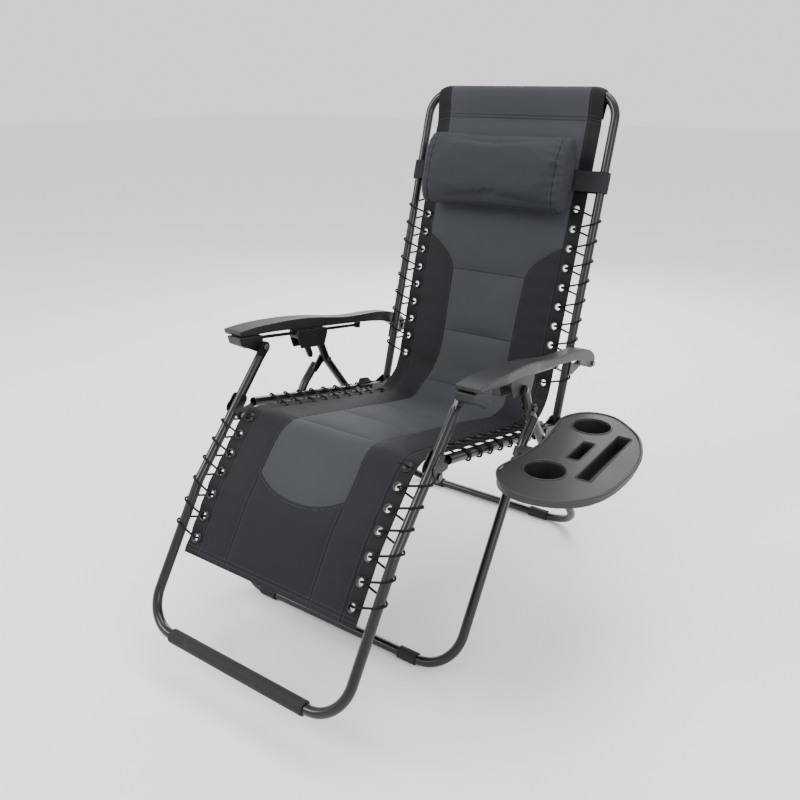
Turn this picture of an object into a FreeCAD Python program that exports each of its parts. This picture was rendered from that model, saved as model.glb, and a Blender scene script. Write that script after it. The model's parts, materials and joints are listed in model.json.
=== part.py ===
import FreeCAD, Part

import math
import os

V = FreeCAD.Vector

# All sizes are in millimetres and all angles in degrees.
# +Z is up, the sitter faces -Y, and +X is on the sitter's left, where the tray hangs.
# The origin is on the floor, under the middle of the front leg's ground bar.

# ---- steel tube ----
TUBE_D = 21.0
TUBE_WALL = 1.5
FRAME_HALF = 258.0          # seat, back and leg-rest tubes, from the middle plane
LEG_GAP = 6.0               # seat rail to rear leg
SCISSOR_GAP = 1.5           # rear leg to front leg
LEG_CORNER_R = 85.0
FOOT_GROW = 1.8             # foot sleeve's flat, below the tube
FRONT_FOOT_INSET = 107.5    # foot's middle, in from the leg's axis
REAR_FOOT_INSET = 113.0
FRONT_FOOT_LENGTH = 44.0
REAR_FOOT_LENGTH = 52.0

# ---- legs ----
STANCE = 705.0              # front ground bar to rear ground bar
REAR_LEG_ANGLE = 52.6       # rear leg's rise from the floor
REAR_LEG_LENGTH = 606.0     # rear ground bar to the scissor pivot
SEAT_PIVOT_DOWN = 128.5     # seat pivot, down the rear leg from the scissor pivot
TOP_LINK = 59.0             # scissor pivot to the rear leg's top roller
TOP_LINK_ANGLE = 66.7
FRONT_LEG_BEND_BACK = 60.5  # front leg's bend, in front of the scissor pivot
FRONT_LEG_BEND_DROP = 52.5

# ---- seat, back and leg rest ----
SEAT_FALL = 13.2            # the rails' fall towards the back
RAIL_FRONT_Y = 45.5
RAIL_BACK_Y = 539.0
KNEE_Y = -5.0
KNEE_Z = 466.0
HIP_Y = 564.0
HIP_Z = 372.0
BACK_LEAN = 73.3            # the back's rise from the floor
BACK_LENGTH = 787.0         # hip to the top bar
BACK_CORNER_R = 62.0
ARM_FRONT_Y = 93.5
ARM_FRONT_Z = 596.0
CALF_BEND_Y = -131.6
CALF_BEND_Z = 356.3
CALF_LENGTH = 315.0         # bend to the leg rest's bar
CALF_ANGLE = 56.3
CALF_CORNER_R = 75.0

# ---- plates and bolts ----
PLATE_T = 2.5
PLATE_GAP = 0.4
EYE_R = 12.0
KNEE_EYE_R = 6.0
CORD_ROOM = 9.0             # from the middle of a turn of lacing to the nearest plate
BOLT_R = 3.0
BOLT_CLEAR = 0.08
HEAD_R = 7.0
HEAD_T = 4.0

# ---- armrests, lock and levers ----
ARM_GAP = 3.4               # arm bracket to armrest
ARM_FRONT_WIDTH = 52.2
ARM_BACK_WIDTH = 26.2
ROD_R = 4.0
ROD_ABOVE = 16.0            # slide rod above the armrest's pivot line
LOCK_LENGTH = 112.0
LOCK_CHEEK = 2.6
LEVER_T = 9.0

# ---- sling, lacing and pillow ----
CLOTH_T = 8.0
EYELET_INSET = 50.0         # eyelets, in from the frame's tubes
EYELET_PITCH = 47.5
EYELET_R = 10.5
EYELET_HOLE_R = 7.0
CLOTH_EDGE = 20.0           # eyelet centre to the cloth's edge
CORD_D = 3.5
BACK_EYELETS = 10
BACK_FIRST_EYELET = 86.0    # up the back from the hip
SEAT_EYELETS = 9
SEAT_FIRST_EYELET = 46.0    # back along the rail from its front end
CALF_UPPER_EYELETS = (165.0, 121.0, 76.0, 32.0)
CALF_LOWER_EYELETS = (18.0, 66.0, 114.0)
PILLOW_UP = 580.0
PILLOW_WIDTH = 392.0
PILLOW_HEIGHT = 180.0
PILLOW_THICK = 88.0
STRAP_WIDTH = 48.0
STRAP_T = 1.5

# ---- side tray ----
TRAY_TOP_Z = 452.0
TRAY_SKIRT = 16.0
TRAY_WALL = 3.0
CUP_R = 40.0
CUP_DEPTH = 54.0
SLOT_DEPTH = 40.0
CLIP_REACH = 62.0           # from the leg's axis to the end of the clip's arm

# ---- worked out ----
TUBE_R = TUBE_D / 2
CORD_R = CORD_D / 2
GROUND_Z = TUBE_R + FOOT_GROW
REAR_X = FRAME_HALF + TUBE_D + LEG_GAP
FRONT_X = REAR_X + TUBE_D + SCISSOR_GAP
ARM_INNER = FRAME_HALF + TUBE_R + PLATE_GAP + PLATE_T + ARM_GAP
ARM_OUT_FRONT = ARM_INNER + ARM_FRONT_WIDTH
ARM_OUT_BACK = ARM_INNER + ARM_BACK_WIDTH
EYELET_X = FRAME_HALF - EYELET_INSET


def direction(angle):
    """Unit vector in the side view, for an angle measured from +Y towards +Z."""
    a = math.radians(angle)
    return V(0, math.cos(a), math.sin(a))


REAR_BAR = V(0, STANCE, GROUND_Z)
FRONT_BAR = V(0, 0, GROUND_Z)
REAR_UP = direction(180 - REAR_LEG_ANGLE)
SCISSOR = REAR_BAR + REAR_UP * REAR_LEG_LENGTH
SEAT_PIVOT = SCISSOR - REAR_UP * SEAT_PIVOT_DOWN
TOP_PIN = SCISSOR + direction(180 - TOP_LINK_ANGLE) * TOP_LINK
FRONT_BEND = SCISSOR - V(0, FRONT_LEG_BEND_BACK, FRONT_LEG_BEND_DROP)
KNEE = V(0, KNEE_Y, KNEE_Z)
HIP = V(0, HIP_Y, HIP_Z)
ARM_FRONT = V(0, ARM_FRONT_Y, ARM_FRONT_Z)
ARM_BACK = HIP + (ARM_FRONT - KNEE)     # makes seat, back, armrest and leg rest a parallelogram
RAIL_DIR = direction(-SEAT_FALL)
BACK_DIR = direction(BACK_LEAN)
TOP_BAR = HIP + BACK_DIR * BACK_LENGTH
CALF_BEND = V(0, CALF_BEND_Y, CALF_BEND_Z)
CALF_DIR = direction(180 + CALF_ANGLE)
CALF_BAR = CALF_BEND + CALF_DIR * CALF_LENGTH
THIGH_DIR = (ARM_FRONT - CALF_BEND).normalize()
ARM_DIR = (ARM_FRONT - ARM_BACK).normalize()
ARM_UP = V(0, ARM_DIR.z, -ARM_DIR.y)
ARM_SPAN = (ARM_FRONT - ARM_BACK).Length


def rail_point(y):
    """The seat rail's axis at a given y. It passes through the seat pivot."""
    return SEAT_PIVOT + RAIL_DIR * ((y - SEAT_PIVOT.y) / RAIL_DIR.y)


RAIL_FRONT = rail_point(RAIL_FRONT_Y)
RAIL_BACK = rail_point(RAIL_BACK_Y)


def arm_point(along, above):
    """A point in the armrest's own lines: forwards from its back pivot, and above that line."""
    return ARM_BACK + ARM_DIR * along + ARM_UP * above


def at_x(point, x):
    return V(x, point.y, point.z)


def front_of(line_dir):
    """The side of a tube or cloth that faces the sitter."""
    return V(0, -line_dir.z, line_dir.y)


# ---- building blocks ----

def rounded_path(points, radii):
    """Straight runs joined by tangent arcs, one radius for each inner point."""
    edges = []
    start = points[0]
    for i in range(1, len(points) - 1):
        corner = points[i]
        back = (points[i - 1] - corner).normalize()
        ahead = (points[i + 1] - corner).normalize()
        half = back.getAngle(ahead) / 2
        reach = radii[i - 1] / math.tan(half)
        first = corner + back * reach
        last = corner + ahead * reach
        middle = (back + ahead).normalize()
        centre = corner + middle * (radii[i - 1] / math.sin(half))
        top = centre - middle * radii[i - 1]
        edges.append(Part.LineSegment(start, first).toShape())
        edges.append(Part.Arc(first, top, last).toShape())
        start = last
    edges.append(Part.LineSegment(start, points[-1]).toShape())
    return Part.Wire(edges)


def sweep_round(path, radius):
    first = path.Edges[0]
    start = first.valueAt(first.FirstParameter)
    tangent = first.tangentAt(first.FirstParameter)
    ring = Part.Wire([Part.makeCircle(radius, start, tangent)])
    return path.makePipeShell([ring], True, True)


def bent_tube(points, radii):
    path = rounded_path(points, radii)
    return sweep_round(path, TUBE_R).cut(sweep_round(path, TUBE_R - TUBE_WALL))


def x_bar(point, x0, x1, radius):
    """A round bar along X through a side-view point."""
    low, high = min(x0, x1), max(x0, x1)
    return Part.makeCylinder(radius, high - low, at_x(point, low), V(1, 0, 0))


def slab(outline, x0, x1):
    """A flat plate: a side-view outline of points, thickened along X."""
    low, high = min(x0, x1), max(x0, x1)
    points = [at_x(p, low) for p in outline]
    face = Part.Face(Part.makePolygon(points + [points[0]]))
    return face.extrude(V(high - low, 0, 0))


def strap_plate(a, b, half_width_a, half_width_b, x0, x1):
    """A plate with a round end about each of two side-view points."""
    along = (b - a).normalize()
    across = front_of(along)
    outline = [
        a + across * half_width_a,
        b + across * half_width_b,
        b - across * half_width_b,
        a - across * half_width_a,
    ]
    plate = slab(outline, x0, x1)
    plate = plate.fuse(x_bar(a, x0, x1, half_width_a))
    return plate.fuse(x_bar(b, x0, x1, half_width_b)).removeSplitter()


def bolt(point, x_head, x_end, head_t=HEAD_T):
    """A bolt along X: head at x_head, lock nut at x_end."""
    way = 1 if x_end > x_head else -1
    shank = x_bar(point, x_head, x_end, BOLT_R)
    head = x_bar(point, x_head, x_head - way * head_t, HEAD_R)
    head = head.makeFillet(head_t / 3, [e for e in head.Edges if abs(e.Length - 2 * math.pi * HEAD_R) < 1e-3])
    nut = x_bar(point, x_end, x_end + way * HEAD_T, HEAD_R)
    return shank.fuse(head).fuse(nut).removeSplitter()


def drill(shape, point, x0, x1):
    return shape.cut(x_bar(point, x0, x1, BOLT_R + BOLT_CLEAR))


def mirrored(shape):
    return shape.mirror(V(0, 0, 0), V(1, 0, 0))


def both(shape):
    """A left-hand shape with its right-hand copy."""
    solids = shape.Solids + mirrored(shape).Solids
    return Part.makeCompound(solids)


def u_frame(left_points, radii, corner_r):
    """A tube frame: the left side's points down to the bar, then the same on the right."""
    right = [V(-p.x, p.y, p.z) for p in reversed(left_points)]
    inner = radii + [corner_r]
    return bent_tube(left_points + right, inner + inner[::-1])


# ---- legs ----

def rear_leg_frame():
    left = [at_x(TOP_PIN, REAR_X), at_x(SCISSOR, REAR_X), at_x(REAR_BAR, REAR_X)]
    frame = u_frame(left, [TOP_LINK * 0.8], LEG_CORNER_R)
    for point in (SCISSOR, SEAT_PIVOT):
        frame = drill(frame, point, -REAR_X - TUBE_D, REAR_X + TUBE_D)
    return frame


def rear_leg_caps():
    """Nylon end caps in the rear leg's tops, which the lock clamps."""
    down = (SCISSOR - TOP_PIN).normalize()
    top = at_x(TOP_PIN, REAR_X)
    plug = Part.makeCylinder(TUBE_R - TUBE_WALL, 9, top, down)
    dome = Part.makeSphere(TUBE_R, top)
    dome = dome.cut(Part.makeCylinder(TUBE_R + 1, TUBE_D, top, down))
    return both(plug.fuse(dome).removeSplitter())


def front_leg_frame():
    eye_x = REAR_X + TUBE_R + 1.0
    up = (SCISSOR - FRONT_BEND).normalize()
    tube_end = SCISSOR - up * (EYE_R + 10)
    left = [at_x(tube_end, FRONT_X), at_x(FRONT_BEND, FRONT_X), at_x(FRONT_BAR, FRONT_X)]
    frame = u_frame(left, [70.0], LEG_CORNER_R)
    inner_x = FRONT_X - TUBE_R + TUBE_WALL * 0.5
    tongue = strap_plate(SCISSOR, tube_end - up * 14, EYE_R, EYE_R * 0.7, eye_x, inner_x + 3.0)
    for side in (1, -1):
        part = tongue if side > 0 else mirrored(tongue)
        frame = frame.fuse(part)
    return drill(frame, SCISSOR, -FRONT_X - TUBE_D, FRONT_X + TUBE_D)


def foot(bar, x_middle, length):
    """A ribbed rubber sleeve on a ground bar, flat where it stands."""
    start = V(x_middle - length / 2, bar.y, bar.z)
    outer = Part.makeCylinder(TUBE_R + FOOT_GROW + 1.5, length, start, V(1, 0, 0))
    hole = Part.makeCylinder(TUBE_R, length, start, V(1, 0, 0))
    below = Part.makeBox(length, TUBE_D * 2, TUBE_D, V(start.x, bar.y - TUBE_D, -TUBE_D))
    return outer.cut(hole).cut(below)


def scissor_bolts():
    x_end = FRONT_X - TUBE_R + TUBE_WALL * 0.5 + 3.4
    return both(bolt(SCISSOR, REAR_X - TUBE_R - 0.3, x_end, head_t=1.3))


def seat_pivot_bolts():
    return both(bolt(SEAT_PIVOT, FRAME_HALF - TUBE_R - 0.3, REAR_X + TUBE_R + 0.3))


def seat_pivot_spacers():
    spacer = x_bar(SEAT_PIVOT, FRAME_HALF + TUBE_R + 0.3, REAR_X - TUBE_R - 0.3, EYE_R - 2.5)
    return both(spacer.cut(x_bar(SEAT_PIVOT, FRAME_HALF, REAR_X, BOLT_R)))


# ---- seat ----

def seat_rail():
    tube = bent_tube([at_x(RAIL_FRONT, FRAME_HALF), at_x(RAIL_BACK, FRAME_HALF)], [])
    return drill(tube, SEAT_PIVOT, FRAME_HALF - TUBE_D, FRAME_HALF + TUBE_D)


def knee_tongues():
    """A flat tongue in each rail's front end, reaching to the knee pivot."""
    half = TUBE_R - TUBE_WALL
    low = strap_plate(KNEE, RAIL_FRONT + RAIL_DIR * 30, KNEE_EYE_R, half * 0.9, FRAME_HALF - 4, FRAME_HALF + 4)
    inside = sweep_round(rounded_path([at_x(RAIL_FRONT, FRAME_HALF), at_x(RAIL_BACK, FRAME_HALF)], []), half)
    outside = slab([RAIL_FRONT + front_of(RAIL_DIR) * 60, RAIL_FRONT - RAIL_DIR * 90 + front_of(RAIL_DIR) * 60,
                    RAIL_FRONT - RAIL_DIR * 90 - front_of(RAIL_DIR) * 60, RAIL_FRONT - front_of(RAIL_DIR) * 60],
                   FRAME_HALF - 20, FRAME_HALF + 20)
    ahead = low.common(outside)
    within = low.common(inside)
    return both(drill(ahead.fuse(within).removeSplitter(), KNEE, FRAME_HALF - 9, FRAME_HALF + 9))


def side_plates(outline_maker):
    """The same plate on both faces of the tube, on both sides of the chair."""
    near = TUBE_R + PLATE_GAP
    outer = outline_maker(FRAME_HALF + near, FRAME_HALF + near + PLATE_T)
    inner = outline_maker(FRAME_HALF - near - PLATE_T, FRAME_HALF - near)
    return both(Part.makeCompound([outer, inner]))


def hip_plates():
    def plate(x0, x1):
        shape = strap_plate(RAIL_BACK - RAIL_DIR * 52, RAIL_BACK - RAIL_DIR * 8, TUBE_R, TUBE_R, x0, x1)
        shape = shape.fuse(strap_plate(RAIL_BACK - RAIL_DIR * 8, HIP, TUBE_R, EYE_R, x0, x1))
        return drill(shape.removeSplitter(), HIP, x0 - 1, x1 + 1)
    return side_plates(plate)


def seat_wings():
    """Flat braces that stiffen each rail behind the seat pivot."""
    base = SEAT_PIVOT + RAIL_DIR * 18
    up = front_of(RAIL_DIR)
    outline = [
        base + up * (TUBE_R + 0.2),
        base + RAIL_DIR * 4 + up * 26,
        base + RAIL_DIR * 40 + up * 26,
        base + RAIL_DIR * 66 + up * (TUBE_R + 0.2),
    ]
    return both(slab(outline, FRAME_HALF - 1.5, FRAME_HALF + 1.5))


# ---- leg rest ----

KNEE_FOOT = CALF_BEND + THIGH_DIR * (KNEE - CALF_BEND).dot(THIGH_DIR)


def leg_rest_frame():
    up = THIGH_DIR
    tube_end = ARM_FRONT - up * 26
    left = [at_x(tube_end, FRAME_HALF), at_x(CALF_BEND, FRAME_HALF), at_x(CALF_BAR, FRAME_HALF)]
    frame = u_frame(left, [60.0], CALF_CORNER_R)
    tongue = strap_plate(ARM_FRONT, tube_end - up * 16, EYE_R + 1, TUBE_R - TUBE_WALL, FRAME_HALF - 4, FRAME_HALF + 4)
    frame = frame.fuse(tongue).fuse(mirrored(tongue))
    frame = drill(frame, ARM_FRONT, -FRAME_HALF - 9, FRAME_HALF + 9)
    return frame


def knee_plates():
    first_turn = (CALF_UPPER_EYELETS[0] + CALF_UPPER_EYELETS[1]) / 2
    low = CALF_BEND + THIGH_DIR * (first_turn + CORD_ROOM * 2 + TUBE_R)

    def plate(x0, x1):
        shape = strap_plate(low, KNEE_FOOT + THIGH_DIR * 32, TUBE_R, TUBE_R, x0, x1)
        shape = shape.fuse(strap_plate(KNEE_FOOT + THIGH_DIR * 9, KNEE, TUBE_R + 2, EYE_R, x0, x1))
        return drill(shape.removeSplitter(), KNEE, x0 - 1, x1 + 1)
    return side_plates(plate)


def leg_rest_sleeve():
    length = 2 * (FRAME_HALF - CALF_CORNER_R) - 6
    start = V(-length / 2, CALF_BAR.y, CALF_BAR.z)
    outer = Part.makeCylinder(TUBE_R + 4.5, length, start, V(1, 0, 0))
    outer = outer.makeFillet(2.5, [e for e in outer.Edges if e.Length > 2 * TUBE_D and e.Length < length - 1])
    return outer.cut(Part.makeCylinder(TUBE_R, length, start, V(1, 0, 0)))


# ---- back ----

def back_points():
    return [at_x(HIP - BACK_DIR * 12, FRAME_HALF), at_x(TOP_BAR, FRAME_HALF)]


def back_frame():
    frame = u_frame(back_points(), [], BACK_CORNER_R)
    return drill(frame, HIP, -FRAME_HALF - TUBE_D, FRAME_HALF + TUBE_D)


def arm_brackets():
    """Triangular plates that carry the armrests' back pivots behind the back tubes."""
    x0 = FRAME_HALF + TUBE_R + PLATE_GAP
    x1 = x0 + PLATE_T
    first_turn = BACK_FIRST_EYELET + EYELET_PITCH / 2
    low = HIP + BACK_DIR * (first_turn + CORD_ROOM)
    high = HIP + BACK_DIR * (first_turn + EYELET_PITCH - CORD_ROOM)
    n = front_of(BACK_DIR) * TUBE_R
    outline = [
        low + n * 0.6,
        high + n * 0.6,
        high - n,
        ARM_BACK + BACK_DIR * EYE_R,
        ARM_BACK - BACK_DIR * EYE_R,
        low - n,
    ]
    plate = slab(outline, x0, x1).fuse(x_bar(ARM_BACK, x0, x1, EYE_R)).removeSplitter()
    return both(drill(plate, ARM_BACK, x0 - 1, x1 + 1))


# ---- armrests ----

ARM_TOP = ((640, 36), (595, 43), (530, 48.5), (463, 52), (400, 52), (331, 48), (249, 44),
           (162, 47), (93, 47), (44, 41), (7, 31), (-18, 12))
ARM_UNDER = ((-16, -4), (4, -10), (24, 0), (60, 14), (110, 21), (200, 24.5), (343, 25.5),
             (470, 27), (530, 27), (590, 25), (634, 24))


def spline(points):
    curve = Part.BSplineCurve()
    curve.interpolate(points)
    return curve.toShape()


def closed_profile(top, under):
    """A side-view face between two smooth lines, closed by short straight ends."""
    a = spline([arm_point(*p) for p in top])
    b = spline([arm_point(*p) for p in under])
    first = Part.LineSegment(arm_point(*top[-1]), arm_point(*under[0])).toShape()
    last = Part.LineSegment(arm_point(*under[-1]), arm_point(*top[0])).toShape()
    return Part.Face(Part.Wire([a, first, b, last]))


def armrest():
    side = closed_profile(ARM_TOP, ARM_UNDER)
    side.translate(V(ARM_INNER, 0, 0))
    bar = side.extrude(V(ARM_OUT_FRONT - ARM_INNER, 0, 0))
    tail = arm_point(-30, 0).y
    waist = arm_point(330, 0).y
    nose = arm_point(660, 0).y
    plan_points = [
        V(ARM_INNER - 5, tail, 0), V(ARM_OUT_BACK, tail, 0), V(ARM_OUT_BACK + 8, waist, 0),
        V(ARM_OUT_FRONT, waist - 190, 0), V(ARM_OUT_FRONT, nose, 0), V(ARM_INNER - 5, nose, 0),
    ]
    plan = Part.Face(Part.makePolygon(plan_points + [plan_points[0]]))
    bar = bar.common(plan.extrude(V(0, 0, ARM_FRONT_Z + 300)))
    return drill(bar, ARM_BACK, ARM_INNER - 1, ARM_OUT_FRONT)


def arm_front_bracket():
    """The socket under the armrest's nose that takes the leg rest's top pivot."""
    x0, x1 = ARM_INNER, ARM_INNER + 40
    outline = [arm_point(*p) for p in ((640, 22.5), (632, 4), (ARM_SPAN + 6, -14), (ARM_SPAN - 13, -14),
                                       (ARM_SPAN - 13, 22.5))]
    body = slab(outline, x0, x1)
    hollow = [arm_point(*p) for p in ((626, 18), (622, 6), (ARM_SPAN + 5, -20), (ARM_SPAN - 9, -20),
                                      (ARM_SPAN - 9, 18))]
    body = body.cut(slab(hollow, x0 + 3, x1 - 3))
    return drill(body, ARM_FRONT, x0 - 1, x0 + 5)


def arm_rod():
    """The steel rod under the armrest that the lock slides on."""
    start = at_x(arm_point(200, ROD_ABOVE), REAR_X)
    rod = Part.makeCylinder(ROD_R, ARM_SPAN - 13 - 200, start, ARM_DIR)
    foot_outline = [arm_point(*p) for p in ((192, ROD_ABOVE - 7), (204, ROD_ABOVE - 7), (204, 23.8), (192, 23.8))]
    post = slab(foot_outline, REAR_X - 6, REAR_X + 6)
    return rod.fuse(post).removeSplitter()


def lock_slider():
    """The housing that slides along the rod and clamps the rear leg's top."""
    back = 338.0
    front = back + LOCK_LENGTH
    x0 = REAR_X - TUBE_R - 1.0 - LOCK_CHEEK
    x1 = REAR_X + TUBE_R + 1.0 + LOCK_CHEEK
    outline = [arm_point(*p) for p in ((front, 23.2), (front, 8), (front - 16, -22), (back + 8, -22),
                                       (back, 8), (back, 23.2))]
    body = slab(outline, x0, x1)
    room = [arm_point(*p) for p in ((front + 5, 4), (front + 5, -30), (back - 5, -30), (back - 5, 4))]
    body = body.cut(slab(room, x0 + LOCK_CHEEK, x1 - LOCK_CHEEK))
    bore = Part.makeCylinder(ROD_R + 0.15, LOCK_LENGTH + 40, at_x(arm_point(back - 20, ROD_ABOVE), REAR_X), ARM_DIR)
    body = body.cut(bore)
    return drill(body, arm_point(*LEVER_PIVOT), x1 - LOCK_CHEEK - 0.5, x1 + 1)


LEVER_PIVOT = (388.0, -8.0)
LEVER_TIP = (361.0, -50.0)


def lever_pin():
    x1 = REAR_X + TUBE_R + 1.0 + LOCK_CHEEK
    pin = x_bar(arm_point(*LEVER_PIVOT), x1 - LOCK_CHEEK, x1 + LEVER_T + 1.5, BOLT_R)
    return pin.fuse(x_bar(arm_point(*LEVER_PIVOT), x1 + LEVER_T + 0.8, x1 + LEVER_T + 2.6, HEAD_R - 1))


def lock_lever():
    """The finger lever on the lock's outer face."""
    x0 = REAR_X + TUBE_R + 1.0 + LOCK_CHEEK + 0.5
    shape = strap_plate(arm_point(*LEVER_PIVOT), arm_point(*LEVER_TIP), 9.5, 7.5, x0, x0 + LEVER_T - 1)
    rim = [e for e in shape.Edges if e.Length > 2]
    shape = shape.makeFillet(1.2, [e for e in rim if abs(e.BoundBox.XLength) < 0.01])
    return drill(shape, arm_point(*LEVER_PIVOT), x0 - 1, x0 + LEVER_T + 1)


# ---- pivots made of bolts ----

def hip_bolts():
    reach = TUBE_R + PLATE_GAP + PLATE_T + 0.2
    return both(bolt(HIP, FRAME_HALF + reach, FRAME_HALF - reach))


def knee_bolts():
    reach = TUBE_R + PLATE_GAP + PLATE_T + 0.2
    return both(bolt(KNEE, FRAME_HALF + reach, FRAME_HALF - reach))


def arm_back_bolts():
    x0 = FRAME_HALF + TUBE_R + PLATE_GAP
    return both(bolt(ARM_BACK, x0 - 0.2, ARM_OUT_BACK + 1.2))


def arm_front_bolts():
    return both(bolt(ARM_FRONT, FRAME_HALF - 4.2, ARM_INNER + 3.3))


# ---- sling ----

def cloth_panel(a, b, half_width):
    """A flat padded panel between two side-view points on the frame's plane."""
    along = (b - a).normalize()
    n = front_of(along) * (CLOTH_T / 2)
    corners = [a + n, b + n, b - n, a - n]
    return slab(corners, -half_width, half_width)


def eyelet_points(start, along, stations):
    return [(start + along * s, along) for s in stations]


def ring(point, along, x, radius, height):
    n = front_of(along)
    return Part.makeCylinder(radius, height, at_x(point, x) - n * (height / 2), n)


def eyelets(places):
    rings = []
    for point, along in places:
        for x in (EYELET_X, -EYELET_X):
            outer = ring(point, along, x, EYELET_R, CLOTH_T + 2)
            rings.append(outer.cut(ring(point, along, x, EYELET_HOLE_R, CLOTH_T + 4)))
    return Part.makeCompound(rings)


def punched(panel, places):
    for point, along in places:
        for x in (EYELET_X, -EYELET_X):
            panel = panel.cut(ring(point, along, x, EYELET_R, CLOTH_T * 3))
    return panel


BACK_STATIONS = [BACK_FIRST_EYELET + EYELET_PITCH * i for i in range(BACK_EYELETS)]
SEAT_STATIONS = [SEAT_FIRST_EYELET + EYELET_PITCH * i for i in range(SEAT_EYELETS)]
BACK_PLACES = eyelet_points(HIP, BACK_DIR, BACK_STATIONS)
SEAT_PLACES = eyelet_points(RAIL_FRONT, RAIL_DIR, SEAT_STATIONS)
THIGH_PLACES = eyelet_points(CALF_BEND, THIGH_DIR * -1, [-s for s in CALF_UPPER_EYELETS])
CALF_PLACES = eyelet_points(CALF_BEND, CALF_DIR, CALF_LOWER_EYELETS)
CLOTH_HALF = EYELET_X + CLOTH_EDGE


def sling_back():
    low = HIP + BACK_DIR * (BACK_FIRST_EYELET - 36)
    high = TOP_BAR - BACK_DIR * (TUBE_R + 2)
    panel = punched(cloth_panel(low, high, CLOTH_HALF), BACK_PLACES)
    half = FRAME_HALF - BACK_CORNER_R - 4
    hem = x_bar(TOP_BAR, -half, half, TUBE_R + 4).cut(x_bar(TOP_BAR, -half - 1, half + 1, TUBE_R + 0.3))
    left, top = back_points()
    around = rounded_path([left, top, at_x(top, -top.x), at_x(left, -left.x)], [BACK_CORNER_R] * 2)
    panel = panel.cut(sweep_round(around, TUBE_R + 0.3))
    return panel.fuse(hem).removeSplitter()


def sling_seat():
    front = RAIL_FRONT + RAIL_DIR * 8
    back = RAIL_BACK - RAIL_DIR * 12
    return punched(cloth_panel(front, back, CLOTH_HALF), SEAT_PLACES)


def sling_leg():
    top = CALF_BEND + THIGH_DIR * (CALF_UPPER_EYELETS[0] + 10)
    bottom = CALF_BEND + CALF_DIR * (CALF_LOWER_EYELETS[-1] + 36)
    up_n = front_of(THIGH_DIR * -1) * (CLOTH_T / 2)
    low_n = front_of(CALF_DIR) * (CLOTH_T / 2)
    bend = (up_n + low_n) * (CLOTH_T / (up_n + low_n).Length / 2)
    outline = [top + up_n, CALF_BEND + bend, bottom + low_n, bottom - low_n, CALF_BEND - bend, top - up_n]
    panel = slab(outline, -CLOTH_HALF, CLOTH_HALF)
    return punched(punched(panel, THIGH_PLACES), CALF_PLACES)


def lacing(places, ends):
    """One elastic cord: through an eyelet, round the tube, and on to the next eyelet."""
    points = []
    reach_x = FRAME_HALF + TUBE_R + CORD_R + 0.75
    reach_n = TUBE_R + CORD_R + 2.25
    through = CLOTH_T / 2 + 1 + CORD_R + 0.25
    for i, (point, along) in enumerate(places):
        n = front_of(along)
        points.append(at_x(point, EYELET_X) - n * through)
        points.append(at_x(point, EYELET_X) + n * through)
        if i + 1 < len(places):
            after, next_along = places[i + 1]
            middle = (point + after) * 0.5
            n = (n + front_of(next_along)).normalize()
            points.append(at_x(middle - along * 5, reach_x) + n * reach_n)
            points.append(at_x(middle + along * 5, reach_x) - n * reach_n)
    first_n = front_of(places[0][1])
    last_n = front_of(places[-1][1])
    points.insert(0, points[0] - first_n * 2 + V(-ends, 0, 0))
    points.append(points[-1] + last_n * 0.3 + V(-ends, 0, 0))
    radii = []
    for i in range(1, len(points) - 1):
        back = points[i - 1] - points[i]
        ahead = points[i + 1] - points[i]
        turn = math.pi - back.getAngle(ahead)
        radii.append(0.45 * min(back.Length, ahead.Length) / math.tan(turn / 2))
    return sweep_round(rounded_path(points, radii), CORD_R)


# ---- pillow ----

PILLOW_BACK = 11.6          # the pillow's back face in front of the back's plane


def pillow_strap():
    """A wide elastic loop round both back tubes, in front of the cloth between them."""
    out_x = FRAME_HALF + TUBE_R + CORD_D + 1.2
    out_n = TUBE_R + CORD_D + 2.7
    low_n = CLOTH_T / 2 + CORD_D + 2.1
    section = [(-out_x, -out_n), (out_x, -out_n), (out_x, out_n), (out_x - 28, out_n), (EYELET_X, low_n),
               (-EYELET_X, low_n), (-out_x + 28, out_n), (-out_x, out_n)]
    start = HIP + BACK_DIR * (PILLOW_UP - STRAP_WIDTH / 2)
    n = front_of(BACK_DIR)
    points = [V(x, 0, 0) + start + n * h for x, h in section]
    wire = Part.makePolygon(points + [points[0]])
    inner = Part.Face(wire)
    outer = Part.Face(wire.makeOffset2D(STRAP_T, 0))
    return outer.extrude(BACK_DIR * STRAP_WIDTH).cut(inner.extrude(BACK_DIR * STRAP_WIDTH))


def head_pillow():
    """A bolster: an oval section along X with softened ends."""
    n = front_of(BACK_DIR)
    middle = HIP + BACK_DIR * PILLOW_UP + n * (PILLOW_BACK + PILLOW_THICK / 2)
    oval = Part.Ellipse(V(0, 0, 0), PILLOW_HEIGHT / 2, PILLOW_THICK / 2).toShape()
    face = Part.Face(Part.Wire([oval]))
    body = face.extrude(V(0, 0, PILLOW_WIDTH))
    body = body.makeFillet(20, [e for e in body.Edges if abs(e.BoundBox.ZLength) < 0.01])
    body.translate(V(0, 0, -PILLOW_WIDTH / 2))
    turn = FreeCAD.Rotation(BACK_DIR, n, V(1, 0, 0), "XYZ")
    body.Placement = FreeCAD.Placement(middle, turn).multiply(body.Placement)
    return body


# ---- side tray ----

# Seen from above, each point is (out from the front leg's axis, back from the front ground bar).
TRAY_OUTLINE = ((32, 96), (37, 190), (45, 276), (37, 352), (33, 436), (92, 486), (172, 446),
                (230, 352), (246, 225), (220, 104), (122, 44))
TRAY_CUPS = ((103, 160), (100, 408))
TRAY_SLOT = (166, 194, 164, 392)
TRAY_PHONE = (116, 140, 236, 326)


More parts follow.
